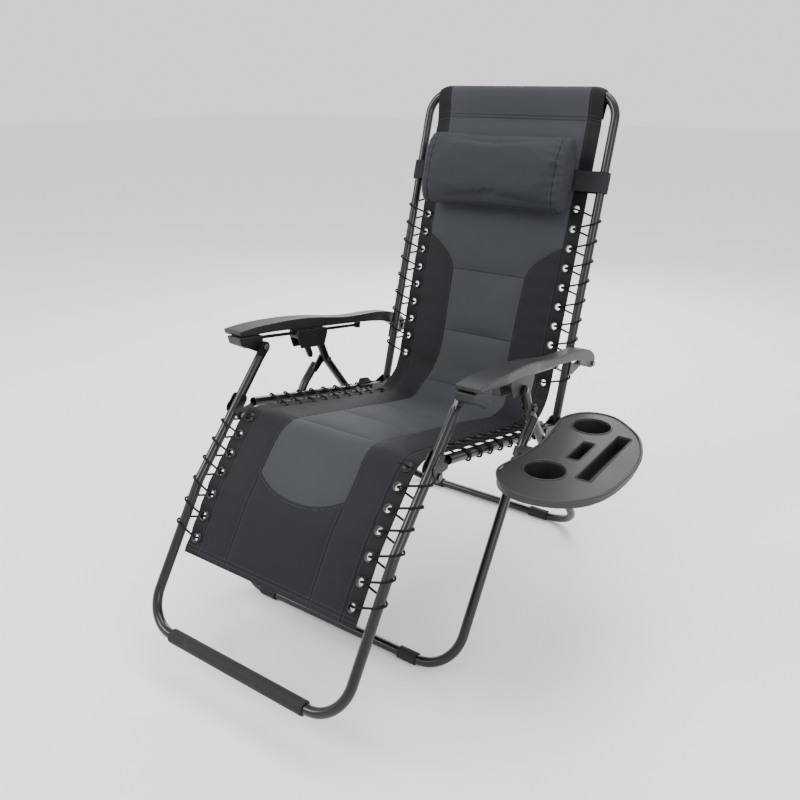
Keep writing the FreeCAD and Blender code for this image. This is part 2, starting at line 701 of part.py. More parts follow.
def inset_outline(outline, inset):
    """The outline's points, moved inwards by the inset along the curve's own normals."""
    moved = []
    count = len(outline)
    for i in range(count):
        before = outline[i - 1]
        after = outline[(i + 1) % count]
        across = V(before[1] - after[1], after[0] - before[0], 0).normalize()
        moved.append((outline[i][0] + across.x * inset, outline[i][1] + across.y * inset))
    return moved


def tray_face(z, inset):
    outline = inset_outline(TRAY_OUTLINE[::-1], inset)
    curve = Part.BSplineCurve()
    curve.interpolate([V(FRONT_X + x, y, z) for x, y in outline], PeriodicFlag=True)
    return Part.Face(Part.Wire([curve.toShape()]))


def side_tray():
    body = tray_face(TRAY_TOP_Z - TRAY_SKIRT, 0).extrude(V(0, 0, TRAY_SKIRT))
    hollow = tray_face(TRAY_TOP_Z - TRAY_SKIRT, TRAY_WALL).extrude(V(0, 0, TRAY_SKIRT - TRAY_WALL))
    body = body.cut(hollow)
    for x, y in TRAY_CUPS:
        base = V(FRONT_X + x, y, TRAY_TOP_Z - CUP_DEPTH)
        body = body.fuse(Part.makeCylinder(CUP_R + TRAY_WALL, CUP_DEPTH - 1, base))
    for x0, x1, y0, y1 in (TRAY_SLOT, TRAY_PHONE):
        low = V(FRONT_X + x0 - TRAY_WALL, y0 - TRAY_WALL, TRAY_TOP_Z - SLOT_DEPTH)
        body = body.fuse(Part.makeBox(x1 - x0 + 2 * TRAY_WALL, y1 - y0 + 2 * TRAY_WALL, SLOT_DEPTH - 1, low))
    for x, y in TRAY_CUPS:
        floor = V(FRONT_X + x, y, TRAY_TOP_Z - CUP_DEPTH + TRAY_WALL)
        body = body.cut(Part.makeCylinder(CUP_R, CUP_DEPTH, floor))
    for x0, x1, y0, y1 in (TRAY_SLOT, TRAY_PHONE):
        floor = V(FRONT_X + x0, y0, TRAY_TOP_Z - SLOT_DEPTH + TRAY_WALL)
        body = body.cut(Part.makeBox(x1 - x0, y1 - y0, SLOT_DEPTH, floor))
    return body.removeSplitter()


def tray_clip():
    """The snap collar that holds the tray on the front leg's tube."""
    low_dir = (FRONT_BEND - FRONT_BAR).normalize()
    middle = FRONT_BEND - low_dir * 34
    axis_point = at_x(middle, FRONT_X)
    outer = Part.makeCylinder(TUBE_R + 4, 40, axis_point - low_dir * 20, low_dir)
    arm = Part.makeBox(CLIP_REACH, 26, 8, V(FRONT_X, middle.y - 13, TRAY_TOP_Z - TRAY_SKIRT - 8))
    body = outer.fuse(arm)
    body = body.cut(Part.makeCylinder(TUBE_R + 0.3, 80, axis_point - low_dir * 40, low_dir))
    mouth = Part.makeBox(TUBE_D, 60, 9, V(FRONT_X - TUBE_D - 3, middle.y - 30, middle.z - 4.5))
    return body.cut(mouth)


# ---- the chair ----

def build():
    nodes = {}
    nodes["rear_leg_frame"] = rear_leg_frame()
    nodes["rear_leg_caps"] = rear_leg_caps()
    nodes["rear_feet"] = both(foot(REAR_BAR, REAR_X - REAR_FOOT_INSET, REAR_FOOT_LENGTH))
    nodes["scissor_bolts"] = scissor_bolts()
    nodes["front_leg_frame"] = front_leg_frame()
    nodes["front_feet"] = both(foot(FRONT_BAR, FRONT_X - FRONT_FOOT_INSET, FRONT_FOOT_LENGTH))
    nodes["seat_pivot_bolts"] = seat_pivot_bolts()
    nodes["seat_pivot_spacers"] = seat_pivot_spacers()
    nodes["seat_rail_left"] = seat_rail()
    nodes["seat_rail_right"] = mirrored(seat_rail())
    nodes["knee_tongues"] = knee_tongues()
    nodes["hip_plates"] = hip_plates()
    nodes["seat_wings"] = seat_wings()
    nodes["leg_rest_frame"] = leg_rest_frame()
    nodes["leg_rest_sleeve"] = leg_rest_sleeve()
    nodes["knee_plates"] = knee_plates()
    nodes["knee_bolts"] = knee_bolts()
    nodes["back_frame"] = back_frame()
    nodes["hip_bolts"] = hip_bolts()
    nodes["arm_brackets"] = arm_brackets()
    nodes["arm_back_bolts"] = arm_back_bolts()
    nodes["arm_front_bolts"] = arm_front_bolts()
    nodes["armrest_left"] = armrest()
    nodes["armrest_right"] = mirrored(armrest())
    nodes["arm_front_brackets"] = both(arm_front_bracket())
    nodes["arm_rods"] = both(arm_rod())
    nodes["lock_sliders"] = both(lock_slider())
    nodes["lever_pins"] = both(lever_pin())
    nodes["lock_lever_left"] = lock_lever()
    nodes["lock_lever_right"] = mirrored(lock_lever())
    nodes["sling_back"] = sling_back()
    nodes["sling_seat"] = sling_seat()
    nodes["sling_leg"] = sling_leg()
    nodes["eyelets_back"] = eyelets(BACK_PLACES)
    nodes["eyelets_seat"] = eyelets(SEAT_PLACES)
    nodes["eyelets_leg"] = eyelets(THIGH_PLACES + CALF_PLACES)
    nodes["lacing_back"] = both(lacing(BACK_PLACES, 14))
    nodes["lacing_seat"] = both(lacing(SEAT_PLACES, 14))
    nodes["lacing_leg"] = both(lacing(THIGH_PLACES + CALF_PLACES, 14))
    nodes["pillow_strap"] = pillow_strap()
    nodes["head_pillow"] = head_pillow()
    nodes["side_tray"] = side_tray()
    nodes["tray_clip"] = tray_clip()
    return nodes


def main():
    os.makedirs("parts", exist_ok=True)
    for name, shape in build().items():
        if not shape.isValid():
            print("not valid:", name)
        shape.exportStep(os.path.join("parts", name + ".step"))
        print(name, len(shape.Solids), "solids", round(shape.Volume), "mm3")


main()
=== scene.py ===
import json
import math
import bmesh
import bpy
import numpy as np
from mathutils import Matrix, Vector, noise

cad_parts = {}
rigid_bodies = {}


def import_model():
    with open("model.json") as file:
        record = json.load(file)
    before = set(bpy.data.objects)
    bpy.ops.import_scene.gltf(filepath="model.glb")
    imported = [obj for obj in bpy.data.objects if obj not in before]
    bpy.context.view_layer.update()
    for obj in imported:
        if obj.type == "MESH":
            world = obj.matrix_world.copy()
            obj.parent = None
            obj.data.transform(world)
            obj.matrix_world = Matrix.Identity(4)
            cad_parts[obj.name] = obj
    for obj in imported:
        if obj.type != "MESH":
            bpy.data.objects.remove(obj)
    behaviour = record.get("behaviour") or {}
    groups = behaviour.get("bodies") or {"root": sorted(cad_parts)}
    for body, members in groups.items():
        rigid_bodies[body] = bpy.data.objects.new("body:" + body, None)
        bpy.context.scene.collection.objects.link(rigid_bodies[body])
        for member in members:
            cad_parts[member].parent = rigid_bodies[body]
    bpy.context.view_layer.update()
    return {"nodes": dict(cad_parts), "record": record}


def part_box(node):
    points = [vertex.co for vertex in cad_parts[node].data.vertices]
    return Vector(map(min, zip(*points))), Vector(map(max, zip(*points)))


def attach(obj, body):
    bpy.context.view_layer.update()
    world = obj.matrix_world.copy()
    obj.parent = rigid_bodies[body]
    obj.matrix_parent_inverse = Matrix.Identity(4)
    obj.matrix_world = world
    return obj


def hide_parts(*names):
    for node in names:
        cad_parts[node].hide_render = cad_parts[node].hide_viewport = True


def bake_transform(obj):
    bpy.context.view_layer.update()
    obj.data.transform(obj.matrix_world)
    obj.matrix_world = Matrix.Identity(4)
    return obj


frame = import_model()

bl_info = {
    "name": "Zero Gravity Recliner",
    "version": (1, 0, 0),
    "blender": (4, 5, 0),
    "location": "View3D > Sidebar > Recliner",
    "description": "Builds the visible pieces of a folding recliner round its frame",
    "category": "Object",
}

# ---- lengths and places shared by the pieces, in metres ----
FRAME_HALF = 0.258
EYELET_X = 0.208
HOLE_R = 0.0100
HIP = Vector((0, 0.564, 0.372))
BACK_UP = Vector((0, 0.28736, 0.95782))
BACK_OUT = Vector((0, -0.95782, 0.28736))
CALF_BEND = Vector((0, -0.1316, 0.3563))
CALF_UP = Vector((0, 0.55484, 0.83195))
SEAT_BACK = Vector((0, 0.97358, -0.22835))
KNEE_CORNER = Vector((0, -0.0060, 0.4903))
HIP_CORNER = Vector((0, 0.5597, 0.3576))
TOP_BAR = Vector((0, 0.79015, 1.12581))
CORNER_R = 0.062
BAR_WRAP_R = 0.0135     # middle of the top bar to the middle of the cloth round it
HEM_SEAM = 0.014
PILLOW_SEAM_X = 0.172

BACK_EYELETS = [HIP + BACK_UP * (0.086 + 0.0475 * i) for i in range(10)]
SEAT_EYELETS = [Vector((0, 0.09028, 0.46779)) + SEAT_BACK * 0.0475 * i for i in range(9)]
LEG_EYELETS = [Vector((0, -0.01865, 0.47658)), Vector((0, -0.04877, 0.44450)), Vector((0, -0.07957, 0.41170)),
               Vector((0, -0.10969, 0.37963)), Vector((0, -0.14159, 0.34132)), Vector((0, -0.16822, 0.30139)),
               Vector((0, -0.19485, 0.26146))]


class ReclinerSizes(bpy.types.PropertyGroup):
    """Lengths of the sling, strap and pillow"""
    thread: bpy.props.FloatProperty(name="Thread", description="Width of one thread of the sling's weave",
                                    default=0.0013, min=0.0005, subtype="DISTANCE", unit="LENGTH")
    centre_fill: bpy.props.FloatProperty(name="Centre filling", description="How far the grey panels stand out",
                                         default=0.0095, min=0.0, subtype="DISTANCE", unit="LENGTH")
    side_fill: bpy.props.FloatProperty(name="Side filling", description="How far the dark panels stand out",
                                       default=0.0042, min=0.0, subtype="DISTANCE", unit="LENGTH")
    cloth_half: bpy.props.FloatProperty(name="Half width", description="Middle of the sling to its edge",
                                        default=0.2275, min=0.2, max=0.24, subtype="DISTANCE", unit="LENGTH")
    hem: bpy.props.FloatProperty(name="Hem", description="From the calf bend down to the sling's lower edge",
                                 default=0.150, min=0.1, max=0.2, subtype="DISTANCE", unit="LENGTH")
    strap_width: bpy.props.FloatProperty(name="Strap width", description="Width of the pillow's elastic strap",
                                         default=0.048, min=0.02, subtype="DISTANCE", unit="LENGTH")
    pillow_voxel: bpy.props.FloatProperty(name="Pillow mesh", description="Size of the pillow's remeshed faces",
                                          default=0.005, min=0.003, subtype="DISTANCE", unit="LENGTH")


class ReclinerColours(bpy.types.PropertyGroup):
    """Base colours of cloth, steel and plastic"""
    centre: bpy.props.FloatVectorProperty(name="Centre panels", description="Grey cloth down the middle",
                                          default=(0.030, 0.033, 0.037), size=3, subtype="COLOR")
    side: bpy.props.FloatVectorProperty(name="Side panels", description="Dark cloth at the sides",
                                        default=(0.0048, 0.0060, 0.0080), size=3, subtype="COLOR")
    border: bpy.props.FloatVectorProperty(name="Borders", description="Cloth strip that holds the eyelets",
                                          default=(0.0022, 0.0026, 0.0033), size=3, subtype="COLOR")
    pillow: bpy.props.FloatVectorProperty(name="Pillow", description="Cloth of the head pillow",
                                          default=(0.017, 0.019, 0.0215), size=3, subtype="COLOR")
    steel: bpy.props.FloatVectorProperty(name="Painted steel", description="Powder coat of the tubes",
                                         default=(0.0028, 0.0030, 0.0038), size=3, subtype="COLOR")
    plastic: bpy.props.FloatVectorProperty(name="Moulded plastic", description="Armrests and tray",
                                           default=(0.013, 0.0145, 0.016), size=3, subtype="COLOR")


# ---- shader maths ----
class Value:
    """A number's socket; Python operators on it add Math nodes."""

    def __init__(self, finish, socket):
        self.finish = finish
        self.socket = socket

    def maths(self, operation, *others):
        return self.finish.node("ShaderNodeMath", {"operation": operation}, [self, *others])

    def __add__(self, other):
        return self.maths("ADD", other)

    def __radd__(self, other):
        return self.maths("ADD", other)

    def __sub__(self, other):
        return self.maths("SUBTRACT", other)

    def __rsub__(self, other):
        return self.maths("MULTIPLY_ADD", -1.0, other)

    def __mul__(self, other):
        return self.maths("MULTIPLY", other)

    def __rmul__(self, other):
        return self.maths("MULTIPLY", other)

    def __truediv__(self, other):
        return self.maths("DIVIDE", other)

    def __abs__(self):
        return self.maths("ABSOLUTE")

    def sine(self):
        return self.maths("SINE")

    def least(self, other):
        return self.maths("MINIMUM", other)

    def most(self, other):
        return self.maths("MAXIMUM", other)

    def band(self, low, high):
        """0 below low, 1 above high, smooth between them."""
        settings = {"interpolation_type": "SMOOTHSTEP"}
        inputs = {"Value": self, "From Min": low, "From Max": high}
        return self.finish.node("ShaderNodeMapRange", settings, inputs)


class Finish:
    """A material being put together round one Principled shader."""

    def __init__(self, name, **fixed):
        self.material = bpy.data.materials.new(name)
        self.material.use_nodes = True
        self.tree = self.material.node_tree
        self.shader = self.tree.nodes["Principled BSDF"]
        for label, number in fixed.items():
            self.shader.inputs[label.replace("_", " ")].default_value = number

    def node(self, kind, settings=None, inputs=None, output=0):
        made = self.tree.nodes.new(kind)
        for label, setting in (settings or {}).items():
            setattr(made, label, setting)
        pairs = inputs.items() if isinstance(inputs, dict) else enumerate(inputs or [])
        for label, given in pairs:
            if isinstance(given, Value):
                self.tree.links.new(given.socket, made.inputs[label])
            else:
                made.inputs[label].default_value = given
        return Value(self, made.outputs[output])

    def place(self):
        return self.node("ShaderNodeTexCoord", output="Object")

    def part(self, vector, axis):
        return self.node("ShaderNodeSeparateXYZ", None, [vector], output=axis)

    def attribute(self, name):
        return self.node("ShaderNodeAttribute", {"attribute_name": name}, output="Fac")

    def grain(self, vector, scale, detail=3.0, roughness=0.55):
        inputs = {"Vector": vector, "Scale": scale, "Detail": detail, "Roughness": roughness}
        return self.node("ShaderNodeTexNoise", None, inputs, output="Fac")

    def colour(self, share, first, second):
        settings = {"data_type": "RGBA"}
        inputs = {0: share, 6: self.full(first), 7: self.full(second)}
        return self.node("ShaderNodeMix", settings, inputs, output=2)

    def full(self, colour):
        return colour if isinstance(colour, Value) else (*colour, 1.0)

    def shade(self, colour, amount):
        """A colour made lighter or darker by a number near 1."""
        inputs = {0: colour, "Scale": amount}
        return self.node("ShaderNodeVectorMath", {"operation": "SCALE"}, inputs, output="Vector")

    def full_colour(self, tone):
        return self.colour(0.0, tone, tone)

    def set(self, label, value):
        self.tree.links.new(value.socket, self.shader.inputs[label])

    def bump(self, height, depth, strength=1.0):
        inputs = {"Height": height, "Distance": depth, "Strength": strength}
        self.set("Normal", self.node("ShaderNodeBump", None, inputs))


def weave(finish, across, along, thread):
    """Height of a plain weave whose threads run across and along."""
    warp = (across * (math.pi / thread)).sine()
    weft = (along * (math.pi / thread)).sine()
    return abs(warp) * 0.5 + abs(weft) * 0.5 + warp * weft * 0.35


def powder_coat(name, tone, shine=0.2, coat=0.6):
    finish = Finish(name, Coat_Roughness=0.14, Specular_IOR_Level=0.30)
    place = finish.place()
    drift = finish.grain(place, 9.0, 4.0)
    fine = finish.grain(place, 900.0, 2.0)
    scuff = finish.grain(place, 38.0, 6.0, 0.75).band(0.66, 0.80)
    base = finish.shade(finish.full_colour(tone), drift * 0.5 + 0.75)
    finish.set("Base Color", finish.colour(scuff * 0.35, base, (0.035, 0.036, 0.040)))
    finish.set("Roughness", drift * 0.14 + shine + scuff * 0.18)
    finish.set("Coat Weight", coat - scuff * 0.3)
    finish.bump(fine, 0.00012, 0.35)
    return finish.material


def moulded(name, tone, shine=0.42, grain_scale=700.0):
    finish = Finish(name, Specular_IOR_Level=0.5, Coat_Roughness=0.3)
    place = finish.place()
    drift = finish.grain(place, 14.0, 4.0)
    fine = finish.grain(place, grain_scale, 2.0)
    rub = finish.grain(place, 55.0, 5.0, 0.7).band(0.62, 0.78)
    base = finish.shade(finish.full_colour(tone), drift * 0.35 + 0.82)
    finish.set("Base Color", finish.colour(rub * 0.25, base, tuple(min(1.0, c * 2.0) for c in tone)))
    finish.set("Roughness", drift * 0.16 + shine + fine * 0.08)
    finish.bump(fine, 0.00025, 0.5)
    return finish.material


def bare_steel(name):
    finish = Finish(name, Metallic=1.0)
    place = finish.place()
    turned = finish.grain(place, 260.0, 3.0)
    dull = finish.grain(place, 40.0, 4.0)
    finish.set("Base Color", finish.colour(dull, (0.08, 0.08, 0.085), (0.20, 0.20, 0.21)))
    finish.set("Roughness", turned * 0.25 + 0.25)
    finish.bump(turned, 0.0001, 0.4)
    return finish.material


def rubber(name, tone):
    finish = Finish(name, Specular_IOR_Level=0.35)
    place = finish.place()
    fine = finish.grain(place, 420.0, 3.0)
    dust = finish.grain(place, 24.0, 5.0, 0.7).band(0.55, 0.8)
    finish.set("Base Color", finish.colour(dust * 0.5, tone, (0.045, 0.043, 0.040)))
    finish.set("Roughness", fine * 0.2 + 0.62)
    finish.bump(fine, 0.0003, 0.5)
    return finish.material


def braided_cord(name):
    """Elastic cord with a woven cover, its strands crossing slantwise, the raised strands painted lighter as a
    highlight.
    """
    finish = Finish(name, Specular_IOR_Level=0.15, Sheen_Weight=0.02, Sheen_Roughness=0.5)
    place = finish.place()
    x = finish.part(place, "X")
    y = finish.part(place, "Y")
    z = finish.part(place, "Z")
    right = ((x + y + z) * 2600.0).sine()
    left = ((x - y - z) * 2600.0).sine()
    braid = right.most(left)
    fleck = finish.grain(place, 600.0, 2.0)
    # raised strands of the braid take the lighter colour: painted highlight; fleck is random tone in the yarn
    finish.set("Base Color", finish.colour(braid.band(0.2, 1.0) * 0.7 + fleck * 0.3, (0.002, 0.002, 0.0025),
                                           (0.008, 0.0085, 0.010)))
    finish.set("Roughness", fleck * 0.2 + 0.6)
    finish.bump(braid, 0.0004, 0.6)
    return finish.material


def sling_cloth(name, sizes, colours, places):
    """Woven polyester in three tones, with double stitching along the seams, painted shade in the seam grooves and
    painted highlights on the thread crowns.
    """
    finish = Finish(name, Specular_IOR_Level=0.22, Sheen_Weight=0.02, Sheen_Roughness=0.45)
    uv = finish.node("ShaderNodeUVMap", {"uv_map": "UVMap"})
    across = finish.part(uv, "X")
    along = finish.part(uv, "Y")
    panel = finish.attribute("panel")
    threads = weave(finish, across, along, sizes.thread)
    drawn = finish.node("ShaderNodeMapping", None, {"Vector": uv, "Scale": (240.0, 1400.0, 1.0)})
    slub = finish.grain(drawn, 1.0, 2.0)
    cloud = finish.grain(uv, 7.0, 4.0)
    side = finish.colour(abs(across).band(places["border"] - 0.0006, places["border"] + 0.0006), colours.side,
                         colours.border)
    tone = finish.colour(panel.band(-0.0005, 0.0005), side, colours.centre)
    inside = panel.band(0.0, 0.001)
    gap = abs(along - places["seams"][0])
    for seam in places["seams"][1:]:
        gap = gap.least(abs(along - seam))
    gap = gap + (1.0 - inside) * 0.05
    for seam in places["full_seams"]:
        gap = gap.least(abs(along - seam))
    hem_gap = abs(along - HEM_SEAM)
    low = abs(abs(across) - 0.112) + along.band(places["oval"] + 0.02, places["oval"] + 0.03) * 0.05
    cross = gap.least(hem_gap)
    length = abs(panel).least(low).least(abs(abs(across) - places["border"]))
    # crease marks the seam grooves: it dips the bump, and below it darkens the colour as painted shade
    crease = 1.0 - cross.least(length).band(0.0, 0.0028)
    dash_along = (along * (2 * math.pi / 0.0055)).sine().band(-0.35, -0.1)
    dash_across = (across * (2 * math.pi / 0.0055)).sine().band(-0.35, -0.1)
    beside = (1.0 - abs(length - 0.0042).band(0.0003, 0.0008)) * dash_along
    over = (1.0 - abs(cross - 0.0042).band(0.0003, 0.0008)) * dash_across
    stitch = beside.most(over)
    # cloud and slub vary the yarn's tone at random; minus crease paints shade along the seam grooves
    tone = finish.shade(tone, cloud * 0.30 + slub * 0.34 + 0.68 - crease * 0.45)
    # raised thread crowns take a lighter copy of the tone: painted highlight on the weave
    tone = finish.colour(threads.band(0.1, 1.0) * 0.35, tone, finish.shade(tone, 1.55))
    tone = finish.colour(stitch * 0.55, tone, (0.055, 0.058, 0.064))
    finish.set("Base Color", tone)
    finish.set("Roughness", threads * 0.12 + cloud * 0.10 + 0.50 + inside * 0.06)
    finish.bump(threads * 0.30 + slub * 0.25 + stitch * 0.9 - crease * 1.2, 0.0009, 0.55)
    return finish.material


def pillow_cloth(name, sizes, colours):
    """Finer cloth of the pillow, with stitched seams near its ends, painted shade in their grooves and painted
    highlights on the thread crowns.
    """
    finish = Finish(name, Specular_IOR_Level=0.22, Sheen_Weight=0.03, Sheen_Roughness=0.4)
    place = finish.place()
    x = finish.part(place, "X")
    z = finish.part(place, "Z")
    threads = weave(finish, x, z * 1.04, sizes.thread * 0.9)
    cloud = finish.grain(place, 9.0, 4.0)
    drawn = finish.node("ShaderNodeMapping", None, {"Vector": place, "Scale": (1.0, 1.0, 6.0)})
    slub = finish.grain(drawn, 260.0, 2.0)
    seam = abs(abs(x) - PILLOW_SEAM_X)
    # crease marks the end seams' grooves: it dips the bump, and below it darkens the colour as painted shade
    crease = 1.0 - seam.band(0.0, 0.002)
    dash = (z * (2 * math.pi / 0.0055)).sine().band(-0.35, -0.1)
    stitch = (1.0 - abs(seam - 0.0038).band(0.0003, 0.0008)) * dash
    # cloud and slub vary the yarn's tone at random; minus crease paints shade in the seam grooves
    tone = finish.shade(finish.full_colour(colours.pillow), cloud * 0.25 + slub * 0.35 + 0.72 - crease * 0.5)
    # raised thread crowns take a lighter copy of the tone: painted highlight on the weave
    tone = finish.colour(threads.band(0.1, 1.0) * 0.3, tone, finish.shade(tone, 1.5))
    finish.set("Base Color", finish.colour(stitch * 0.5, tone, (0.07, 0.073, 0.08)))
    finish.set("Roughness", threads * 0.12 + cloud * 0.1 + 0.52)
    finish.bump(threads * 0.3 + slub * 0.2 + stitch * 0.8 - crease * 1.1, 0.0008, 0.5)
    return finish.material


def strap_elastic(name):
    finish = Finish(name, Specular_IOR_Level=0.2, Sheen_Weight=0.03)
    uv = finish.node("ShaderNodeUVMap", {"uv_map": "UVMap"})
    ribs = (finish.part(uv, "Y") * (2 * math.pi / 0.0024)).sine()
    picks = (finish.part(uv, "X") * (2 * math.pi / 0.0011)).sine()
    fleck = finish.grain(uv, 500.0, 2.0)
    # rib crowns take the lighter colour and troughs the darker: painted highlight on the ribs; fleck is random
    # tone in the yarn
    finish.set("Base Color", finish.colour(ribs.band(-0.6, 0.9) * 0.7 + fleck * 0.3, (0.006, 0.0065, 0.008),
                                           (0.024, 0.026, 0.030)))
    finish.set("Roughness", fleck * 0.2 + 0.6)
    finish.bump(ribs * 0.7 + picks * 0.3, 0.0005, 0.7)
    return finish.material


FINISHES = {}


def finish_all(owner):
    """Makes every material once, from the panel's colours."""
    sizes = owner.recliner_sizes
    colours = owner.recliner_colours
    sling = sling_places(sizes)
    FINISHES.update(
        tube=powder_coat("painted_tube", tuple(colours.steel), 0.24, 0.32),
        plate=powder_coat("painted_plate", (0.0035, 0.0038, 0.0045), 0.34, 0.15),
        bolt=bare_steel("blackened_bolt"),
        nylon=moulded("black_nylon", (0.005, 0.0053, 0.006), 0.34, 500.0),
        arm=moulded("armrest_plastic", (0.010, 0.011, 0.012), 0.34),
        tray=moulded("tray_plastic", tuple(colours.plastic), 0.38),
        rubber=rubber("foot_rubber", (0.010, 0.010, 0.0105)),
        cord=braided_cord("braided_elastic"),
        grommet=moulded("eyelet_plastic", (0.004, 0.0043, 0.005), 0.26, 500.0),
        sling=sling_cloth("sling_weave", sizes, colours, sling),
        pillow=pillow_cloth("pillow_weave", sizes, colours),
        strap=strap_elastic("ribbed_elastic"),
    )


# ---- modelling helpers ----
def alone(thing=None):
    """Deselects everything, then picks the given object, if any."""
    for other in bpy.context.view_layer.objects:
        other.select_set(False)
    bpy.context.view_layer.objects.active = thing
    if thing is not None:
        thing.select_set(True)


def settle(thing):
    """Puts the object's place into its mesh."""
    alone(thing)
    bpy.ops.object.transform_apply(location=True, rotation=True, scale=True)
    return thing


def dress(thing, finish, body=None, stands_for=()):
    thing.data.materials.clear()
    thing.data.materials.append(FINISHES[finish])
    if body is not None:
        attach(thing, body)
    if stands_for:
        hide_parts(*stands_for)
    return thing


def apply_all(thing):
    alone(thing)
    for modifier in list(thing.modifiers):
        bpy.ops.object.modifier_apply(modifier=modifier.name)


def copy_of(node, name):
    """A free copy of a frame node, its loose triangles joined."""
    source = frame["nodes"][node]
    copied = source.copy()
    copied.data = source.data.copy()
    copied.name = name
    copied.parent = None
    for key in list(copied.keys()):
        del copied[key]
    bpy.context.scene.collection.objects.link(copied)
    alone(copied)
    bpy.ops.object.mode_set(mode="EDIT")
    bpy.ops.mesh.select_all(action="SELECT")
    bpy.ops.mesh.remove_doubles(threshold=0.00001)
    bpy.ops.object.mode_set(mode="OBJECT")
    return copied


def soften(thing, voxel, factor, times):
    """Rounds a moulded piece's edges all over by remeshing and smoothing it."""
    remesh = thing.modifiers.new("remesh", "REMESH")
    remesh.mode = "VOXEL"
    remesh.voxel_size = voxel
    smooth = thing.modifiers.new("smooth", "SMOOTH")
    smooth.factor = factor
    smooth.iterations = times
    apply_all(thing)
    bpy.ops.object.shade_smooth()
    return thing


def joined(things, name):
    alone(things[0])
    for thing in things:
        thing.select_set(True)
    bpy.ops.object.join()
    made = bpy.context.view_layer.objects.active
    made.name = name
    return made


# ---- the sling's line, seen from the side ----
def rounded_line(corners, radii, step=0.001):
    """Points a step apart along straight runs whose corners are rounded."""
    points = [corners[0]]
    for i in range(1, len(corners) - 1):
        back = (corners[i - 1] - corners[i]).normalized()
        ahead = (corners[i + 1] - corners[i]).normalized()
        half = back.angle(ahead) / 2
        run = radii[i - 1] / math.tan(half)
        centre = corners[i] + (back + ahead).normalized() * (radii[i - 1] / math.sin(half))
        first = corners[i] + back * run - centre
        sweep = math.pi - 2 * half
        turn = first.cross(ahead)
        count = max(3, int(radii[i - 1] * sweep / step))
        for k in range(count + 1):
            angle = sweep * k / count
            axis = turn.normalized()
            points.append(centre + first * math.cos(angle) + axis.cross(first) * math.sin(angle))
    points.append(corners[-1])
    spaced = [points[0]]
    for a, b in zip(points, points[1:]):
        count = max(1, int((b - a).length / step))
        spaced += [a.lerp(b, (k + 1) / count) for k in range(count)]
    return np.array([(p.y, p.z) for p in spaced])


def sling_line(sizes):
    """The sling's middle line from the hem to behind the top bar, with its running length."""
    corners = [CALF_BEND - CALF_UP * sizes.hem, CALF_BEND, KNEE_CORNER, HIP_CORNER, TOP_BAR - BACK_UP * 0.075]
    line = rounded_line(corners, [0.06, 0.075, 0.10])
    over = []
    for k in range(1, 31):
        share = k / 30
        out = BAR_WRAP_R * share * share * (3 - 2 * share)
        over.append(TOP_BAR - BACK_UP * 0.075 * (1 - share) + BACK_OUT * out)
    for k in range(1, 46):
        angle = math.radians(180 * k / 45)
        over.append(TOP_BAR + BACK_OUT * BAR_WRAP_R * math.cos(angle) + BACK_UP * BAR_WRAP_R * math.sin(angle))
    for k in range(1, 26):
        share = k / 25
        out = -BAR_WRAP_R + 0.0065 * share * share * (3 - 2 * share)
        over.append(TOP_BAR - BACK_UP * 0.052 * share + BACK_OUT * out)
    line = np.vstack([line, [(p.y, p.z) for p in over]])
    length = np.concatenate([[0], np.cumsum(np.hypot(*np.diff(line, axis=0).T))])
    return line, length


def find(line, length, point):
    """Running length of the place on the line nearest a point."""
    gap = np.hypot(line[:, 0] - point.y, line[:, 1] - point.z)
    front = length < length[-1] - 0.09
    return float(length[np.argmin(np.where(front, gap, 9.0))])


def sling_places(sizes):
    """Running lengths of the seams, eyelets and joins."""
    line, length = sling_line(sizes)

    def up(distance):
        return find(line, length, HIP + BACK_UP * distance)

    def seat(y):
        return find(line, length, KNEE_CORNER + SEAT_BACK * ((y - KNEE_CORNER.y) / SEAT_BACK.y))

    bend = find(line, length, CALF_BEND)
    knee = find(line, length, KNEE_CORNER)
    hip = find(line, length, HIP_CORNER)
    return {
        "line": line, "length": length, "bend": bend, "knee": knee, "hip": hip,
        "middle": seat(0.25), "oval": bend + 0.025, "border": 0.1915,
        "seams": [seat(0.030), seat(0.1716), seat(0.330), up(0.023), up(0.170), up(0.333)],
        "full_seams": [up(0.722), up(0.731)],
        "widths": [(0.0, 0.112), (bend + 0.110, 0.112), (knee, 0.108), (seat(0.40), 0.106), (hip, 0.125),
                   (up(0.030), 0.120), (up(0.105), 0.101), (up(0.170), 0.100), (up(0.333), 0.105),
                   (up(0.352), 0.112), (up(0.372), 0.127), (up(0.392), 0.150), (up(0.406), 0.170),
                   (up(0.418), 0.1915), (9.0, 0.1915)],
        "eyelets": [find(line, length, p) for p in LEG_EYELETS + SEAT_EYELETS + BACK_EYELETS],
    }


# ---- the sling's shape ----
def sling_grid(sizes, places, start, end):
    """Columns across and rows along for the part of the sling between two running lengths."""
    xs = np.linspace(-sizes.cloth_half, sizes.cloth_half, 115)
    knots = [start] + [s for s in places["eyelets"] if start + 0.004 < s < end - 0.004] + [end]
    knots = sorted(set(knots))
    rows = [start]
    for a, b in zip(knots, knots[1:]):
        count = max(1, round((b - a) / 0.0047))
        rows += [a + (b - a) * (k + 1) / count for k in range(count)]
    return xs, np.array(rows)


def rise(distance, reach):
    """How full the padding is at a distance from its seam: 0 on the seam, towards 1."""
    return 1 - np.exp(-np.maximum(0, distance) / reach)


def ripple(x, s, scale, seed):
    """Smooth noise over the cloth, the same on every run."""
    flat = np.stack([x.ravel() * scale[0], s.ravel() * scale[1]], axis=1)
    return np.array([noise.noise(Vector((a, b, seed))) for a, b in flat]).reshape(x.shape)


